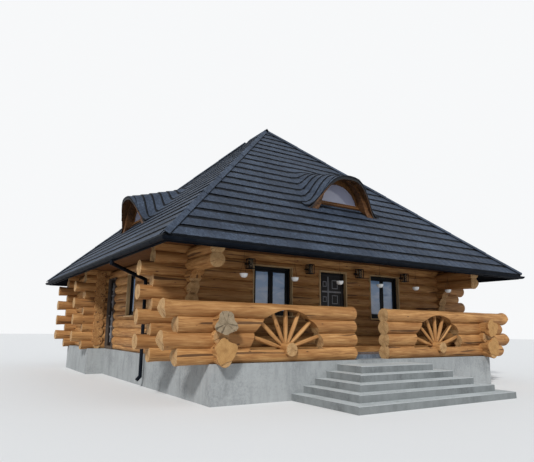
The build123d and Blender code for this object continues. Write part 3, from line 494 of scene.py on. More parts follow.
def skinned(shape, rings, ends=()):
    for lower, upper in zip(rings, rings[1:]):
        for k in range(len(lower)):
            after = (k + 1) % len(lower)
            corners = list(dict.fromkeys([lower[k], lower[after], upper[after], upper[k]]))
            if len(corners) > 2:
                shape.faces.new(corners)
    for ring in ends:
        shape.faces.new(ring)
    bmesh.ops.recalc_face_normals(shape, faces=shape.faces[:])
    return meshFrom(shape)


def lathe(profile, centre, sides, axis=(0, 0, 1)):
    shape = bmesh.new()
    rings = []
    for radius, height in profile:
        if radius:
            rings.append([shape.verts.new((radius * math.cos(2 * math.pi * k / sides),
                                           radius * math.sin(2 * math.pi * k / sides), height))
                          for k in range(sides)])
        else:
            rings.append([shape.verts.new((0, 0, height))] * sides)
    stand(shape, centre, axis)
    return skinned(shape, rings)


def lofted(rings):
    shape = bmesh.new()
    rings = [[shape.verts.new(point) for point in ring] for ring in rings]
    return skinned(shape, rings, (rings[0], rings[-1]))


def copies(points, piece, kind):  # each point is a place, a turn and a size
    mesh = bpy.data.meshes.new("places")
    mesh.from_pydata([place for place, turn, size in points], [], [])
    for name, index in (("turn", 1), ("size", 2)):
        layer = mesh.attributes.new(name, "FLOAT_VECTOR", "POINT")
        layer.data.foreach_set("vector", [part for point in points for part in point[index]])
    source = newObject("copied", piece)
    result = grow("copies", mesh, kind, {"Piece": source})
    bpy.data.objects.remove(source)
    return result


# The camera stands where the photograph was taken; lengths from the rail's line and the plinth's top.
cameraPlace = {
    "x": -8.93, "y": -9.199, "z": 0.702, "yaw": 32.467, "pitch": 10.991, "roll": 0.712, "lens": 33.40,
    "sensor": 36, "shiftX": -0.0028, "shiftY": 0.0026, "farthest": 200}
yaw, pitch, roll = (math.radians(cameraPlace[key]) for key in ("yaw", "pitch", "roll"))
ahead = Vector((math.sin(yaw) * math.cos(pitch), math.cos(yaw) * math.cos(pitch), math.sin(pitch)))
level = Vector((math.cos(yaw), -math.sin(yaw), 0))
over, turned, risen = level.cross(ahead), math.cos(roll), math.sin(roll)
axes = Matrix((turned * level + risen * over, turned * over - risen * level, -ahead))
camera = newObject("camera", bpy.data.cameras.new("camera"))
camera.matrix_world = Matrix.Translation((
    cameraPlace["x"], cameraPlace["y"] + railY, cameraPlace["z"] + plinthTop)) @ axes.transposed().to_4x4()
camera.data.lens, camera.data.sensor_width = cameraPlace["lens"], cameraPlace["sensor"]
camera.data.sensor_fit = "HORIZONTAL"
camera.data.shift_x, camera.data.shift_y = cameraPlace["shiftX"], cameraPlace["shiftY"]
camera.data.clip_end = cameraPlace["farthest"]
bpy.context.scene.camera = camera

logWork = {
    "radius": 0.160, "railRadius": 0.170, "course": 0.265, "firstHeight": 0.130, "railCourse": 0.305,
    "longTail": 5.52, "shortTail": 5.22, "segment": 0.17, "sides": 22, "lumpHeight": 0.028, "lumpSize": 1.9,
    "taper": 0.006, "endBevel": 0.012, "trim": 5.0, "cutBack": 0.014, "tailFlare": 0.012,
    "rootLength": 0.26, "lobe": 0.045, "ceilingGap": 0.002, "tone": 0.35, "toneSpread": 0.3, "seed": 41}
chance = random.Random(logWork["seed"])
cutters = []


def cutter(mesh):
    thing = newObject("cutter", mesh)
    thing.hide_render = True
    cutters.append(thing)
    return thing


def sliced(shape, point, outward):
    cut = bmesh.ops.bisect_plane(
        shape, geom=shape.verts[:] + shape.edges[:] + shape.faces[:], plane_co=point, plane_no=outward,
        clear_outer=True)
    edges = [one for one in cut["geom_cut"] if isinstance(one, bmesh.types.BMEdge)]
    bmesh.ops.holes_fill(shape, edges=edges, sides=0)


def lobed(shape, start, along, side, other):
    phase = chance.uniform(0, 6)
    for vertex in shape.verts:
        offset = vertex.co - start
        far = offset.dot(along)
        across = offset - along * far
        fade = max(0, 1 - far / (1.6 * logWork["rootLength"])) ** 1.2
        if fade and across.length > logWork["radius"] / 2:
            angle = math.atan2(across.dot(other), across.dot(side))
            wave3, wave5 = math.sin(3 * angle + phase), math.sin(5 * angle + 2.1 * phase)
            vertex.co += across.normalized() * logWork["lobe"] * fade * (0.6 * wave3 + 0.5 * wave5 - 0.2)


def sweptLine(points, sizes, sides, lumpHeight, lumpSize):
    line = bpy.data.meshes.new("line")
    line.from_pydata(points, [(k, k + 1) for k in range(len(points) - 1)], [])
    line.attributes.new("logRadius", "FLOAT", "POINT").data.foreach_set("value", sizes)
    return grow("log", line, "log", {
        "Sides": sides, "Lump height": lumpHeight, "Lump size": lumpSize, "Seed": chance.uniform(0, 90)})


def grained(mesh, start, along, side, other, tone=None):
    shift = chance.uniform(0, 40)
    flat = []
    for vertex in mesh.vertices:
        offset = vertex.co - start
        flat += [offset.dot(along) + shift, offset.dot(side), offset.dot(other)]
    mesh.attributes.new("logPlace", "FLOAT_VECTOR", "POINT").data.foreach_set("vector", flat)
    if tone is None:
        tone = max(0, chance.gauss(logWork["tone"], logWork["toneSpread"]))
    mesh.attributes.new("tone", "FLOAT", "POINT").data.foreach_set("value", [tone] * len(mesh.vertices))
    return mesh


def logMesh(start, end, radius, cuts=(), flares=(0.0, 0.0), chisels=((), ()), lump=logWork["lumpHeight"],
            high=None, lobes=False, endSlot=1):
    start, end = Vector(start), Vector(end)
    length = (end - start).length
    along = (end - start).normalized()
    bevel = min(logWork["endBevel"], radius * 0.1)
    steps = max(2, round(length / logWork["segment"]))
    places = [0, bevel] + [bevel + (length - 2 * bevel) * k / steps for k in range(1, steps)] + [
        length - bevel, length]
    phase, swell = chance.uniform(0, 6), chance.uniform(-1, 1) * logWork["taper"]
    sizes = []
    for place in places:
        near = min(place, length - place)
        size = radius + swell * (place / length - 0.5) * 2 + 0.003 * math.sin(place * 1.9 + phase)
        for flare, away in zip(flares, (place, length - place)):
            size += flare * max(0, 1 - away / logWork["rootLength"]) ** 1.6
        sizes.append(size - (bevel if near < bevel / 2 else 0))
    points = [start + along * place for place in places]
    mesh = sweptLine(points, sizes, logWork["sides"], lump, logWork["lumpSize"])
    if cuts:
        mesh = carve(mesh, cuts)
    side = along.orthogonal().normalized()
    other = along.cross(side)
    shape = bmesh.new()
    shape.from_mesh(mesh)
    if lobes:
        lobed(shape, start, along, side, other)
    for tip, outward, tilts in ((start, -along, chisels[0]), (end, along, chisels[1])):
        up = Vector((0, 0, 1))
        edge = up if len(tilts) == 1 else up.cross(outward)
        for tilt in tilts:
            sliced(shape, tip - outward * logWork["cutBack"],
                   Matrix.Rotation(math.radians(tilt), 3, edge) @ outward)
    if high is not None:
        sliced(shape, (0, 0, high), (0, 0, 1))
    shape.to_mesh(mesh)
    shape.free()
    coated(mesh, "log", "end", "root", "burl")
    grained(mesh, start, along, side, other)
    for polygon in mesh.polygons:
        polygon.material_index = endSlot if abs(polygon.normal.dot(along)) > 0.8 else 0
    return mesh


def crossHeight(row):
    return plinthTop + logWork["firstHeight"] + row * logWork["course"]


def trimmed():
    return (chance.uniform(-1, 1) * logWork["trim"],)


def opened(line, holes, alongX=True):  # one cutter for each hole, with its foot and its head
    cuts = []
    for first, last, low, high in holes:
        corners = (first, line - 0.3, low), (last, line + 0.3, high)
        if not alongX:
            corners = (line - 0.3, first, low), (line + 0.3, last, high)
        cuts.append((cutter(boxMesh(*corners)), low, high))
    return cuts


def met(cuts, z):
    return [cut for cut, low, high in cuts if z + logWork["radius"] > low and z - logWork["radius"] < high]


def wallTop(row, rows):
    return ceiling - logWork["ceilingGap"] if row == rows - 1 else None


def crossWall(name, holes, rows=10):
    y = wallY[name]
    cuts = opened(y, holes)
    meshes = []
    for row in range(rows):
        z = crossHeight(row)
        reach = logWork["longTail"] if row % 2 and row < rows - 1 else logWork["shortTail"]
        meshes.append(logMesh(
            (-reach, y, z), (reach, y, z), logWork["radius"], met(cuts, z), (logWork["tailFlare"],) * 2,
            (trimmed(), trimmed()), high=wallTop(row, rows)))
    finishPiece(f"{name}Logs", joined(meshes), "logs", name)


def hole(x, width, foot):
    return x - width / 2, x + width / 2, foot, headZ


threshold = plinthTop + openings["threshold"]
frontWindows = [frontX - openings["windowSpacing"], frontX + openings["windowSpacing"]]
backWindows = [-openings["windowSpacing"], openings["windowSpacing"]]
crossWall("front_wall", [hole(x, openings["windowWidth"], sillZ) for x in frontWindows] + [
    hole(frontX, openings["doorWidth"], threshold)])
crossWall("cross_wall", [hole(0, 2 * openings["innerDoor"], threshold)])
crossWall("back_wall", [hole(x, openings["windowWidth"], sillZ) for x in backWindows])
print("cross walls built")

# Side walls from the ground up: root ends at the rail, one short log, the carved corbel, then the plate logs.
corbel = {"centreReach": 1.01, "centreHeight": 1.30, "radius": 0.82, "reaches": (0.30, 0.40, 0.62),
          "plateReach": 1.46, "plateTilts": (-14, 20)}
sideWork = {
    "rootReach": (0.46, 0.25, 0.46), "rootFlare": (0.095, 0.02, 0.095), "behindRail": 0.14,
    "rootSlot": {"left_wall": (3, 1, 2), "right_wall": (3, 1, 3)}, "intoCross": 0.15, "plateFlare": 0.02,
    "rearStart": 0.19, "rearEnd": 0.345, "sillHeight": 0.1, "sillRadius": 0.115, "sillSetback": 0.02}
corbelCut = cutter(cylinderMesh(
    (0, wallY["front_wall"] - corbel["centreReach"], plinthTop + corbel["centreHeight"]), (1, 0, 0),
    corbel["radius"], 12, 96))


def sideWall(name, holes=(), rows=9):
    x = sideX[name]
    cuts = opened(x, holes, alongX=False)
    meshes = []
    for row in range(rows):
        z = crossHeight(row) + logWork["course"] / 2
        hit, flare, slot, tilts = met(cuts, z), logWork["tailFlare"], 1, ()
        end = wallY["cross_wall"] + sideWork["intoCross"]
        if name.startswith("rear"):
            # painted shade: the rear walls' log ends take the brown side wood instead of pale end grain
            start, slot = wallY["cross_wall"] - sideWork["rearStart"], 0
            end = wallY["back_wall"] + sideWork["rearEnd"]
        elif row < 3:
            start, flare = railY - sideWork["rootReach"][row], sideWork["rootFlare"][row]
            slot = sideWork["rootSlot"][name][row]
        elif row == 3:
            start = railY + sideWork["behindRail"]
        elif row < 4 + len(corbel["reaches"]):
            start = wallY["front_wall"] - corbel["reaches"][row - 4]
            hit = hit + [corbelCut]
        else:
            start, tilts = wallY["front_wall"] - corbel["plateReach"], corbel["plateTilts"]
            flare = sideWork["plateFlare"]
        meshes.append(logMesh((x, start, z), (x, end, z), logWork["radius"], hit, (flare, 0.0), (tilts, ()),
                              high=wallTop(row, rows), lobes=flare > 0.05, endSlot=slot))
        if row == 0:  # a half log on the plinth carries the first one
            low = plinthTop + sideWork["sillHeight"]
            meshes.append(logMesh((x, start + sideWork["sillSetback"], low), (x, end, low),
                                  sideWork["sillRadius"], hit, (flare * 0.5, 0.0)))
    finishPiece(f"{name}Logs", joined(meshes), "logs", name)


sideWindow = (*openings["sideWindowY"], sillZ, headZ)
sideWall("left_wall", [sideWindow, (*openings["sideDoorY"], threshold, headZ)])
sideWall("right_wall", [sideWindow])
sideWall("rear_left_wall")
sideWall("rear_right_wall")
print("side walls built")

sunburst = {"spacing": 2.48, "gap": 1.02, "radius": 0.98, "drop": 0.17, "hubRadius": 0.158, "hubDepth": 0.165,
            "hubOut": 0.09, "spokes": 7, "spread": 146.0, "root": 0.030, "belly": 0.050, "tip": 0.040,
            "steps": 12, "sides": 14, "lumpHeight": 0.006, "lumpSize": 5.0, "tone": 0.1, "rootFlare": 0.035}
hubZ = plinthTop + logWork["railCourse"] - sunburst["hubDepth"] / 4
archZ = plinthTop + logWork["railCourse"] - sunburst["drop"]


def spokeMesh(hub, angle):
    way = Vector((math.cos(angle), 0, math.sin(angle)))
    drop = hubZ - archZ
    reach = -drop * way.z + math.sqrt((drop * way.z) ** 2 + sunburst["radius"] ** 2 - drop ** 2)
    start, end = hub + way * (sunburst["hubRadius"] - 0.02), hub + way * (reach + 0.01)
    root, belly, tip, steps = (sunburst[key] for key in ("root", "belly", "tip", "steps"))
    points, sizes = [], []
    for j in range(steps + 1):
        share = j / steps
        points.append(start + (end - start) * j / steps)
        sizes.append(root + (belly - root) * math.sin(min(1, share / 0.5) * math.pi / 2)
                     - (belly - tip) * max(0, (share - 0.5) / 0.5) ** 2)
    mesh = sweptLine(points, sizes, sunburst["sides"], sunburst["lumpHeight"], sunburst["lumpSize"])
    side = way.orthogonal().normalized()
    return grained(mesh, points[0], way, side, way.cross(side), sunburst["tone"])


def terraceRail(side, word):
    x = frontX + side * sunburst["spacing"]
    arch = cylinderMesh((x, railY, archZ), (0, 1, 0), sunburst["radius"], 1.0, 96)
    cut = cutter(carve(arch, [cutter(boxMesh((x - 2, railY - 1, archZ - 1.2), (x + 2, railY + 1, hubZ)))]))
    meshes = []
    for row in range(4):
        z = plinthTop + logWork["railCourse"] * (row + 0.5)
        tail = side * (logWork["longTail"] if row % 2 else logWork["shortTail"])
        near, far = sorted((frontX + side * sunburst["gap"] / 2, tail))
        blunt = (-chance.uniform(4, 12), chance.uniform(6, 14))
        sharp = (-chance.uniform(8, 14), chance.uniform(16, 25)) if row % 2 else blunt
        flares = (sunburst["rootFlare"] if row % 2 else logWork["tailFlare"], logWork["tailFlare"])
        meshes.append(logMesh((near, railY, z), (far, railY, z), logWork["railRadius"], [cut],
                              flares[::-side], (sharp, blunt)[::-side]))
    finishPiece(f"railLogs_{word}", joined(meshes), "logs", f"terrace_rail_{word}")
    depth, hub = sunburst["hubDepth"], Vector((x, railY, hubZ))
    spokes = [logMesh((x, railY - depth - sunburst["hubOut"], hubZ), (x, railY + depth, hubZ),
                      sunburst["hubRadius"], lump=0.008)]
    for k in range(sunburst["spokes"]):
        turn = 90 - sunburst["spread"] / 2 + k * sunburst["spread"] / (sunburst["spokes"] - 1)
        spokes.append(spokeMesh(hub, math.radians(turn)))
    finishPiece(f"sunburst_{word}_turned", joined(spokes), "spokes", f"sunburst_{word}")


terraceRail(-1, "left")
terraceRail(1, "right")
print("terrace rails built")

roof = {
    "pitch": 42.8, "eaveHeight": 2.47, "courses": 20, "overhang": 0.05, "nose": 0.029, "lift": 0.007,
    "tile": 0.30, "crown": 0.004, "joint": 0.006, "thickness": 0.036, "tuck": 0.02, "seed": 9}
dormer = {
    "setback": 1.5, "lip": 0.25, "halfWidth": 1.28, "rise": 1.05, "power": 1.5, "pitch": 16, "blend": 0.10,
    "blendEdge": 2.1, "blendFade": 0.6, "lean": 0.30, "lining": 0.07, "liningShare": 0.93, "sideY": 6.55,
    "length": 2.2, "hoodReach": 1.34, "footReach": 1.12}
roofSlope, dormerSlope = math.tan(math.radians(roof["pitch"])), math.tan(math.radians(dormer["pitch"]))
halfX, halfY = (fasciaHigh.x - fasciaLow.x) / 2, (fasciaHigh.y - fasciaLow.y) / 2
midY = (fasciaHigh.y + fasciaLow.y) / 2
courseRun = (halfX + roof["overhang"]) / roof["courses"]
tileChance = random.Random(roof["seed"])


def roofPlane(x, y, alongX, alongY, half, dormerAt):
    return {"origin": Vector((x, y, 0)), "along": Vector((alongX, alongY, 0)), "half": half,
            "inward": Vector((-alongY, alongX, 0)), "turn": math.atan2(alongY, alongX), "dormerAt": dormerAt}


dormerY = dormer["sideY"] + railY
planes = {
    "front": roofPlane(0, fasciaLow.y, 1, 0, halfX, 0.0),
    "back": roofPlane(0, fasciaHigh.y, -1, 0, halfX, 0.0),
    "left": roofPlane(fasciaLow.x, midY, 0, -1, halfY, midY - dormerY),
    "right": roofPlane(fasciaHigh.x, midY, 0, 1, halfY, dormerY - midY)}


def spot(plane, offset, run, z):
    point = plane["origin"] + plane["along"] * offset + plane["inward"] * run
    return point.x, point.y, z


def roofZ(run):
    return plinthTop + roof["eaveHeight"] + roofSlope * run


def flatZ(offset, run):
    return roofZ(run), 0.0


def wave(offset):
    share = abs(offset / dormer["halfWidth"])
    return 0.5 * (1 + math.cos(math.pi * share ** dormer["power"])) if share < 1 else -(share - 1) * 0.8


def dormerZ(offset, run):
    return roofZ(dormer["setback"]) + dormer["rise"] * wave(offset) + dormerSlope * (run - dormer["setback"])


def sweptZ(offset, run):  # the roof blended with the dormer's wave, and how far a tile lies on the wave
    plane = roofZ(run)
    blend = dormer["blend"] * min(1, max(0, (dormer["blendEdge"] - abs(offset)) / dormer["blendFade"]))
    gap = dormerZ(offset, run) - plane
    raised = plane + 0.5 * (gap + math.sqrt(gap * gap + blend * blend)) if blend > 0 else plane
    return raised, min(1, max(0, (raised - plane) / 0.03))


def lipRun(offset):
    return dormer["setback"] - dormer["lean"] * max(0, wave(offset))


def hoodReach(run):
    inside, outside = 0.0, dormer["halfWidth"]
    if run >= dormer["setback"]:
        return dormer["hoodReach"]
    for _ in range(24):
        middle = (inside + outside) / 2
        inside, outside = (middle, outside) if lipRun(middle) < run else (inside, middle)
    return inside


def tileColumns(low, high):
    columns, width = [], roof["tile"]
    k = math.floor(low / width) - 1
    shift = tileChance.uniform(0, width)
    while k * width + shift < high:
        lift = tileChance.uniform(-0.002, 0.003)
        columns.append((k * width + shift, -roof["joint"], k))
        for share, rise in ((0.03, 0.0), (0.5, roof["crown"]), (0.97, 0.0)):
            columns.append((k * width + shift + share * width, rise + lift, k))
        k += 1
    inside = [column for column in columns if low < column[0] < high]
    return [(low, 0.0, inside[0][2])] + inside + [(high, 0.0, inside[-1][2])]


def courseStrip(shape, plane, runs, ends, surface, lip=None):
    tones, tucks = (shape.verts.layers.float[name] for name in ("tone", "tuck"))
    rows = []
    for place, rise, index in tileColumns(*ends):
        ring = []
        start, top = runs[0], runs[1] + roof["tuck"]
        if lip:
            start = min(runs[1] - 0.012, max(start, lip(place - plane["dormerAt"])))
        middle = (start + top) / 2
        for run, share, depth in ((top, 1, 0), (middle, 0.5, 0), (start, 0, 0), (start, 0, 1), (top, 1, 1)):
            limit = plane["half"] - run
            offset = max(-limit, min(limit, place))
            z, onDormer = surface(offset - plane["dormerAt"], run)
            z += roof["lift"] + rise - roof["nose"] * share + roof["nose"] * onDormer
            ring.append(shape.verts.new(spot(plane, offset, run, z - depth * roof["thickness"])))
            # this share along the course also places the tile finish's painted shadow under the next nose
            ring[-1][tucks] = share
        rows.append((ring, index))
    for (first, index), (second, _) in zip(rows, rows[1:]):
        tone = random.Random(index * 31 + round(runs[0] * 1000)).random()
        for a in range(5):
            b = (a + 1) % 5
            face = shape.faces.new((first[a], second[a], second[b], first[b]))
            face.smooth = a < 2
            for loop in face.loops:
                loop.vert[tones] = tone
    shape.faces.new(rows[0][0])
    shape.faces.new(list(reversed(rows[-1][0])))


def tiledPlane(name):
    plane = planes[name]
    centre, setback = plane["dormerAt"], dormer["setback"]
    shape = bmesh.new()
    for layer in ("tone", "tuck"):
        shape.verts.layers.float.new(layer)
    for course in range(roof["courses"]):
        low = course * courseRun - roof["overhang"]
        edge = plane["half"] - low
        if edge < 0.12:
            continue
        high = min(low + courseRun, plane["half"] - 0.02)
        runs, whole = (low, high), (-edge, edge)
        if low < setback or low > setback + dormer["length"]:
            courseStrip(shape, plane, runs, whole, flatZ)
            if low < setback and high > setback - dormer["lean"] + 0.02:
                reach = hoodReach(high)
                courseStrip(shape, plane, runs, (centre - reach, centre + reach), sweptZ, lipRun)
        else:
            if low < setback + dormer["lip"]:
                foot = dormer["footReach"]
                courseStrip(shape, plane, runs, (centre - foot, centre + foot), flatZ)
            courseStrip(shape, plane, runs, whole, sweptZ)
    bmesh.ops.recalc_face_normals(shape, faces=shape.faces[:])
    finishPiece(f"roofTiles_{name}", coated(meshFrom(shape), "tile"), "tiles", sharp=30)


for name in planes:
    tiledPlane(name)
print("roof tiled")

# Finishes of the frame's own nodes.
coats = {
    "slab": ["roof_front", "roof_back", "roof_left", "roof_right"], "shell": ["dormer_roofs"],
    "soffit": ["attic_floor"], "houseFloor": ["house_floor"], "terraceFloor": ["terrace_floor"],
    "plinth": ["plinth"], "steps": [f"step_{k}" for k in range(1, 6)],
    "black": ["fascia", "gutters", "downspout", "lanterns"], "dormer": ["dormer_walls"],
    "dormerGlass": ["dormer_glass"], "glass": ["front_glass", "back_glass", "side_glass"],
    "lining": ["front_door_frame"], "doorFrame": ["side_door_frame"], "lamp": ["lantern_glass"]}
for kind, nodes in coats.items():
    for node in nodes:
        coated(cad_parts[node].data, kind)
print("frame painted")


def hoodLining(plane):
    rings, steps, thick = [], 24, dormer["lining"]
    for k in range(-steps, steps + 1):
        offset = dormer["liningShare"] * dormer["halfWidth"] * k / steps
        front, back = lipRun(offset) + 0.012, dormer["setback"] + 0.01
        rings.append([spot(plane, plane["dormerAt"] + offset, run, dormerZ(offset, run) - 0.006 - depth)
                      for run, depth in ((front, 0), (back, 0), (back, thick), (front, thick))])
    return coated(lofted(rings), "hood")


finishPiece("hoodLinings", joined([hoodLining(plane) for plane in planes.values()]), "dormer_wood")
print("hoods lined")

caps = {"width": 0.10, "length": 1.22, "spacing": 1.15, "thickness": 0.02, "lift": 0.012, "taper": 0.97,
        "swell": 0.010, "lap": 0.010}


def capMesh(slope):
    rings = []
    for x, narrow, raised in ((-0.02, 1.0, caps["lap"]), (0.5 * caps["length"], 0.985, caps["lap"] / 2),
                              (caps["length"], caps["taper"], 0.0)):
        width = caps["width"] * narrow
        across = [(-width, 0), (-width * 0.5, 1), (0, 2), (width * 0.5, 1), (width, 0)]
        lower = [(x, y, -abs(y) * slope + swell * caps["swell"] + raised) for y, swell in across]
        rings.append([(x, y, z + caps["thickness"]) for x, y, z in lower] + lower[::-1])
    return lofted(rings)


def capRun(start, end):
    start, end = Vector(start), Vector(end)
    line = end - start
    along = line.normalized()
    up = (Vector((0, 0, 1)) - along * along.z).normalized()
    turn = Matrix((along, up.cross(along), up)).transposed().to_euler()
    count = int(line.length / caps["spacing"])
    return [(start + along * k * line.length / count + up * caps["lift"], turn, (1, 1, 1))
            for k in range(count)]


hips, ridgeTop = [], roofZ(halfX) - 0.02
for side in (-1, 1):
    for cornerY, way in ((fasciaLow.y, 1), (fasciaHigh.y, -1)):
        top = halfX - 0.10
        hips += capRun((side * (halfX + 0.05), cornerY - way * 0.05, roofZ(-0.05)),
                       (side * 0.10, cornerY + way * top, roofZ(top)))
ridge = capRun((0, fasciaLow.y + halfX - 0.1, ridgeTop), (0, fasciaHigh.y - halfX + 0.08, ridgeTop))
hipSlope = roofSlope / math.sqrt(2 + roofSlope ** 2)
capMeshes = [copies(hips, capMesh(hipSlope), "tile"), copies(ridge, capMesh(roofSlope), "tile")]
finishPiece("ridgeCapTiles", joined(capMeshes), "tiles", "ridge_caps", sharp=35)
print("ridge and hips capped")

eaves = {
    "boardWidth": 0.145, "boardGap": 0.006, "boardThickness": 0.016, "firstBoard": 0.32,
    "depth": {"front": 1.95, "back": 1.15, "left": 1.35, "right": 1.35}, "gutterOut": 0.0653,
    "bracketSpacing": 0.62, "bracketInner": 0.0655, "bracketOuter": 0.070, "bracketHalf": 0.013,
    "beadOut": 0.0635, "beadOver": 0.06, "beadRadius": 0.007}
boards, brackets, beads = [], [], []
for name, plane in planes.items():
    run = eaves["firstBoard"]
    while run < eaves["depth"][name]:
        place = spot(plane, 0, run + eaves["boardWidth"] / 2, ceiling - eaves["boardThickness"] / 2)
        boards.append((place, (0, 0, plane["turn"]), (plane["half"] - run - 0.01, 1, 1)))
        run += eaves["boardWidth"] + eaves["boardGap"]
    reach = plane["half"] + eaves["gutterOut"]
    count = int(2 * reach / eaves["bracketSpacing"])
    for k in range(1, count):
        place = spot(plane, -reach + 2 * reach * k / count, -eaves["gutterOut"], gutterZ)
        brackets.append((place, (0, 0, plane["turn"]), (1, 1, 1)))
    edge = spot(plane, 0, -eaves["gutterOut"] - eaves["beadOut"], gutterZ + 0.001)
    bead = cylinderMesh(edge, plane["along"], eaves["beadRadius"], 2 * (reach + eaves["beadOver"]), 10)
    beads.append(coated(bead, "black"))
corner = Vector((1, eaves["boardWidth"] / 2, eaves["boardThickness"] / 2))
finishPiece("soffitBoards", joined([copies(boards, boxMesh(-corner, corner), "soffit")]), "soffit")


def bracketMesh():
    inner, outer, half = eaves["bracketInner"], eaves["bracketOuter"], eaves["bracketHalf"]
    rings = []
    for k in range(13):
        angle = math.pi + math.pi * k / 12
        rings.append([(x, r * math.cos(angle), r * math.sin(angle))
                      for r, x in ((inner, -half), (inner, half), (outer, half), (outer, -half))])
    return lofted(rings)


finishPiece("gutterTrim", joined([copies(brackets, bracketMesh(), "black")] + beads), "gutter")
print("eaves trimmed")

joinery = {"lining": 0.025, "liningReach": 0.165, "frame": 0.055, "frameDepth": 0.06, "sash": 0.06,
           "sashDepth": 0.028, "sashGap": 0.002, "bead": 0.014, "beadFront": -0.018, "beadBack": -0.006,
           "sillOut": 0.045, "sillOver": 0.04, "sillThickness": 0.035, "bevel": 0.003}


def borders(half, low, high, width, front, back, x=0.0, bevel=joinery["bevel"]):
    left, right = x - half + width, x + half - width
    return [boxMesh((x - half, front, low), (left, back, high), bevel),
            boxMesh((right, front, low), (x + half, back, high), bevel),
            boxMesh((left, front, low), (right, back, low + width), bevel),
            boxMesh((left, front, high - width), (right, back, high), bevel)]


def fitted(groups, x, y, z, turn):
    place = Matrix.Translation((x, y, z)) @ Matrix.Rotation(math.radians(turn), 4, "Z")
    meshes = [coated(mesh, kind) for kind, group in groups.items() for mesh in group]
    for mesh in meshes:
        mesh.transform(place)
    return meshes


def windowMeshes(width, leaves):
    lining, reach, frameWidth, depth, sash, sashDepth, gap = (joinery[key] for key in (
        "lining", "liningReach", "frame", "frameDepth", "sash", "sashDepth", "sashGap"))
    height, half = openings["head"] - openings["sill"], width / 2
    pale = borders(half, 0.0, height, lining, -reach, reach)
    over, under = half + joinery["sillOver"], lining - joinery["sillThickness"]
    pale.append(boxMesh((-over, -reach - joinery["sillOut"], under), (over, -reach, lining), 0.006))
    half, low, high = half - lining, lining, height - lining
    dark = borders(half, low, high, frameWidth, -depth, depth)
    half, low, high = half - frameWidth, low + frameWidth, high - frameWidth
    leaf = 2 * half / leaves
    for k in range(leaves):
        x = -half + leaf * (k + 0.5)
        dark += borders(leaf / 2 - gap, low + gap, high - gap, sash, -sashDepth, sashDepth, x, 0.005)
        dark += borders(leaf / 2 - sash + gap, low + sash - gap, high - sash + gap, joinery["bead"],
                        joinery["beadFront"], joinery["beadBack"], x, 0.002)
    handleX = -half + leaf + sash / 2 if leaves > 1 else leaf / 2 - sash / 2
    handle = boxMesh((handleX - 0.012, sashDepth, (low + high) / 2 - 0.06),
                     (handleX + 0.012, sashDepth + 0.035, (low + high) / 2 + 0.05), 0.004)
    return {"lining": pale, "anthracite": dark, "steel": [handle]}


def windowSet(word, width, leaves, places):
    meshes = []
    for x, y, turn in places:
        meshes += fitted(windowMeshes(width, leaves), x, y, sillZ, turn)
    finishPiece(f"{word}WindowJoinery", joined(meshes), "joinery", f"{word}_windows", sharp=30)


low, high = openings["sideWindowY"]
windowSet("front", openings["windowWidth"], 2, [(x, wallY["front_wall"], 0) for x in frontWindows])
windowSet("back", openings["windowWidth"], 2, [(x, wallY["back_wall"], 180) for x in backWindows])
windowSet("side", high - low, 1, [
    (sideX["left_wall"], (low + high) / 2, -90), (sideX["right_wall"], (low + high) / 2, 90)])
print("windows built")

leafWork = {
    "thickness": 0.045, "face": -0.08, "liner": 0.0403, "play": 0.008, "freePlay": 0.012, "foot": 0.11,
    "head": 2.2217, "border": 0.10, "rail": 0.05, "cross": 0.046, "crossAt": 0.36, "middle": 1.25,
    "square": 0.105, "clear": 0.03, "squareHeight": 1.15, "leverHeight": 0.95, "leverInset": 0.07,
    "rosette": [(0, 0), (0.026, 0), (0.026, 0.006), (0.023, 0.0085), (0, 0.0085)]}


def doorLeaf(word, width, hinge, x, y, turn):
    inner = width / 2 - leafWork["liner"]
    freeX = -hinge * (inner - leafWork["freePlay"])
    low, high = sorted((hinge * (inner - leafWork["play"]), freeX))
    face, back = leafWork["face"], leafWork["face"] + leafWork["thickness"]
    foot, head, border, rail, middle = (leafWork[key] for key in ("foot", "head", "border", "rail", "middle"))
    cross, barX = leafWork["cross"] / 2, low + (high - low) * leafWork["crossAt"]
    left, right, bottom, top = low + border, high - border, foot + border, head - border
    dark = borders((high - low) / 2, foot, head, border, face, back, (low + high) / 2, 0.004)
    dark.append(boxMesh((left, face + 0.012, bottom), (right, back - 0.012, top)))
    dark.append(boxMesh((left, face, middle - rail), (right, back, middle + rail), 0.004))
    pale, steel = [], []
    for under, upper in ((bottom, middle - rail), (middle + rail, top)):
        barZ = (under + upper) / 2
        pale.append(boxMesh((barX - cross, face - 0.001, under), (barX + cross, back, upper), 0.004))
        pale.append(boxMesh((left, face, barZ - cross), (right, back, barZ + cross), 0.004))
        for first, last in ((left, barX - cross), (barX + cross, right)):
            extent = min(leafWork["square"], (last - first) / 2 - leafWork["clear"])
            tall = extent * leafWork["squareHeight"]
            for squareZ in ((under + barZ) / 2, (barZ + upper) / 2):
                for front in (face + 0.003, back - 0.011):
                    pale += borders(extent, squareZ - tall, squareZ + tall, 0.024, front, front + 0.008,
                                    (first + last) / 2, 0.002)
    leverX = freeX + hinge * leafWork["leverInset"]
    leverZ = floorTop - plinthTop + leafWork["leverHeight"]
    tips = sorted((leverX - hinge * 0.01, leverX + hinge * 0.1))
    for way, surface in ((-1, face), (1, back)):
        steel.append(lathe(leafWork["rosette"], (leverX, surface, leverZ), 24, (0, way, 0)))
        steel.append(cylinderMesh((leverX, surface + way * 0.026, leverZ), (0, way, 0), 0.009, 0.036, 16))
        barY = surface + way * 0.0495
        steel.append(boxMesh((tips[0], barY - 0.0045, leverZ - 0.0085),
                             (tips[1], barY + 0.0045, leverZ + 0.0085), 0.003))
    meshes = fitted({"door": dark, "inlay": pale, "steel": steel}, x, y, plinthTop, turn)
    finishPiece(f"{word}DoorLeaf", joined(meshes), "door", f"{word}_door", body=f"{word}_leaf", sharp=30)


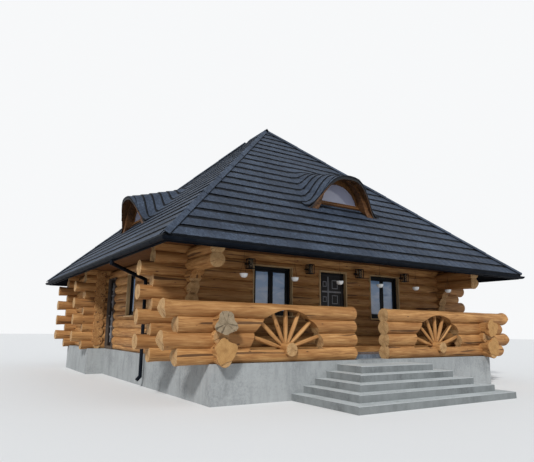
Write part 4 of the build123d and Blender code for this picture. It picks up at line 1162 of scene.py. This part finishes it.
low, high = openings["sideDoorY"]
doorLeaf("front", openings["doorWidth"], -1, frontX, wallY["front_wall"], 0)
doorLeaf("side", high - low, 1, sideX["left_wall"], (low + high) / 2, -90)
print("doors built")

pots = {
    "count": 6, "spacing": 1.37, "centreX": -0.15, "run": 0.20, "rim": 1.88, "wire": 0.0022, "wires": 3,
    "wireReach": 0.0865, "knot": 0.30,
    "bowl": [(0, -0.088), (0.034, -0.088), (0.060, -0.074), (0.080, -0.044), (0.0875, -0.006),
             (0.090, -0.006), (0.090, 0.004), (0.083, 0.004), (0.080, -0.016), (0, -0.016)],
    "soil": [(0, -0.004), (0.05, -0.006), (0.0795, -0.012), (0.0795, -0.016), (0, -0.016)]}
potMeshes = []
for index in range(pots["count"]):
    x, y = pots["centreX"] + (index - (pots["count"] - 1) / 2) * pots["spacing"], railY + pots["run"]
    rim = plinthTop + pots["rim"]
    potMeshes.append(coated(lathe(pots["bowl"], (x, y, rim - 0.004), 32), "bowl"))
    potMeshes.append(coated(lathe(pots["soil"], (x, y, rim - 0.003), 24), "soil"))
    knot = Vector((x, y, rim + pots["knot"]))
    ends = [(Vector((x, y, hookZ)), knot)]
    for k in range(pots["wires"]):
        angle, reach = 2 * math.pi * (k + 0.25) / pots["wires"], pots["wireReach"]
        ends.append((knot, Vector((x + reach * math.cos(angle), y + reach * math.sin(angle), rim - 0.001))))
    for upper, lower in ends:
        wire = cylinderMesh((upper + lower) / 2, upper - lower, pots["wire"], (upper - lower).length, 8)
        potMeshes.append(coated(wire, "black"))
finishPiece("hangingBowls", joined(potMeshes), "bowl", "hanging_bowls")
print("bowls hung")

for name in ("sun", "fill"):
    lamp = newObject(name, bpy.data.lights.new(name, "SUN"))
    lamp.data.energy, lamp.data.angle = studio[name]["strength"], math.radians(studio[name]["angle"])
    lamp.rotation_euler = Vector(studio[name]["from"]).to_track_quat("Z", "Y").to_euler()

# The world lights the house softly; the camera, gloss and glass see the pale backdrop.
world = bpy.data.worlds.new("studio")
bpy.context.scene.world = world
world.use_nodes = True
w = Wiring(world.node_tree)
seen, glossy, through = (w.add("ShaderNodeLightPath", out=f"Is {ray} Ray") for ray in (
    "Camera", "Glossy", "Transmission"))
ambient, backdrop = (
    w.add("ShaderNodeBackground", None, {0: (*colour, 1), 1: strength})
    for colour, strength in ((studio["sky"], studio["ambient"]), (studio["backdrop"], 1.0)))
blend = w.add("ShaderNodeMixShader", None, {
    0: seen.math("MAXIMUM", glossy).math("MAXIMUM", through), 1: ambient, 2: backdrop})
w.add("ShaderNodeOutputWorld", None, {0: blend})
newObject("stageFloor", coated(boxMesh((-90, -90, -0.02), (90, 90, -0.001)), "floor"))

for thing in cutters:
    bpy.data.objects.remove(thing)
print("scene ready")
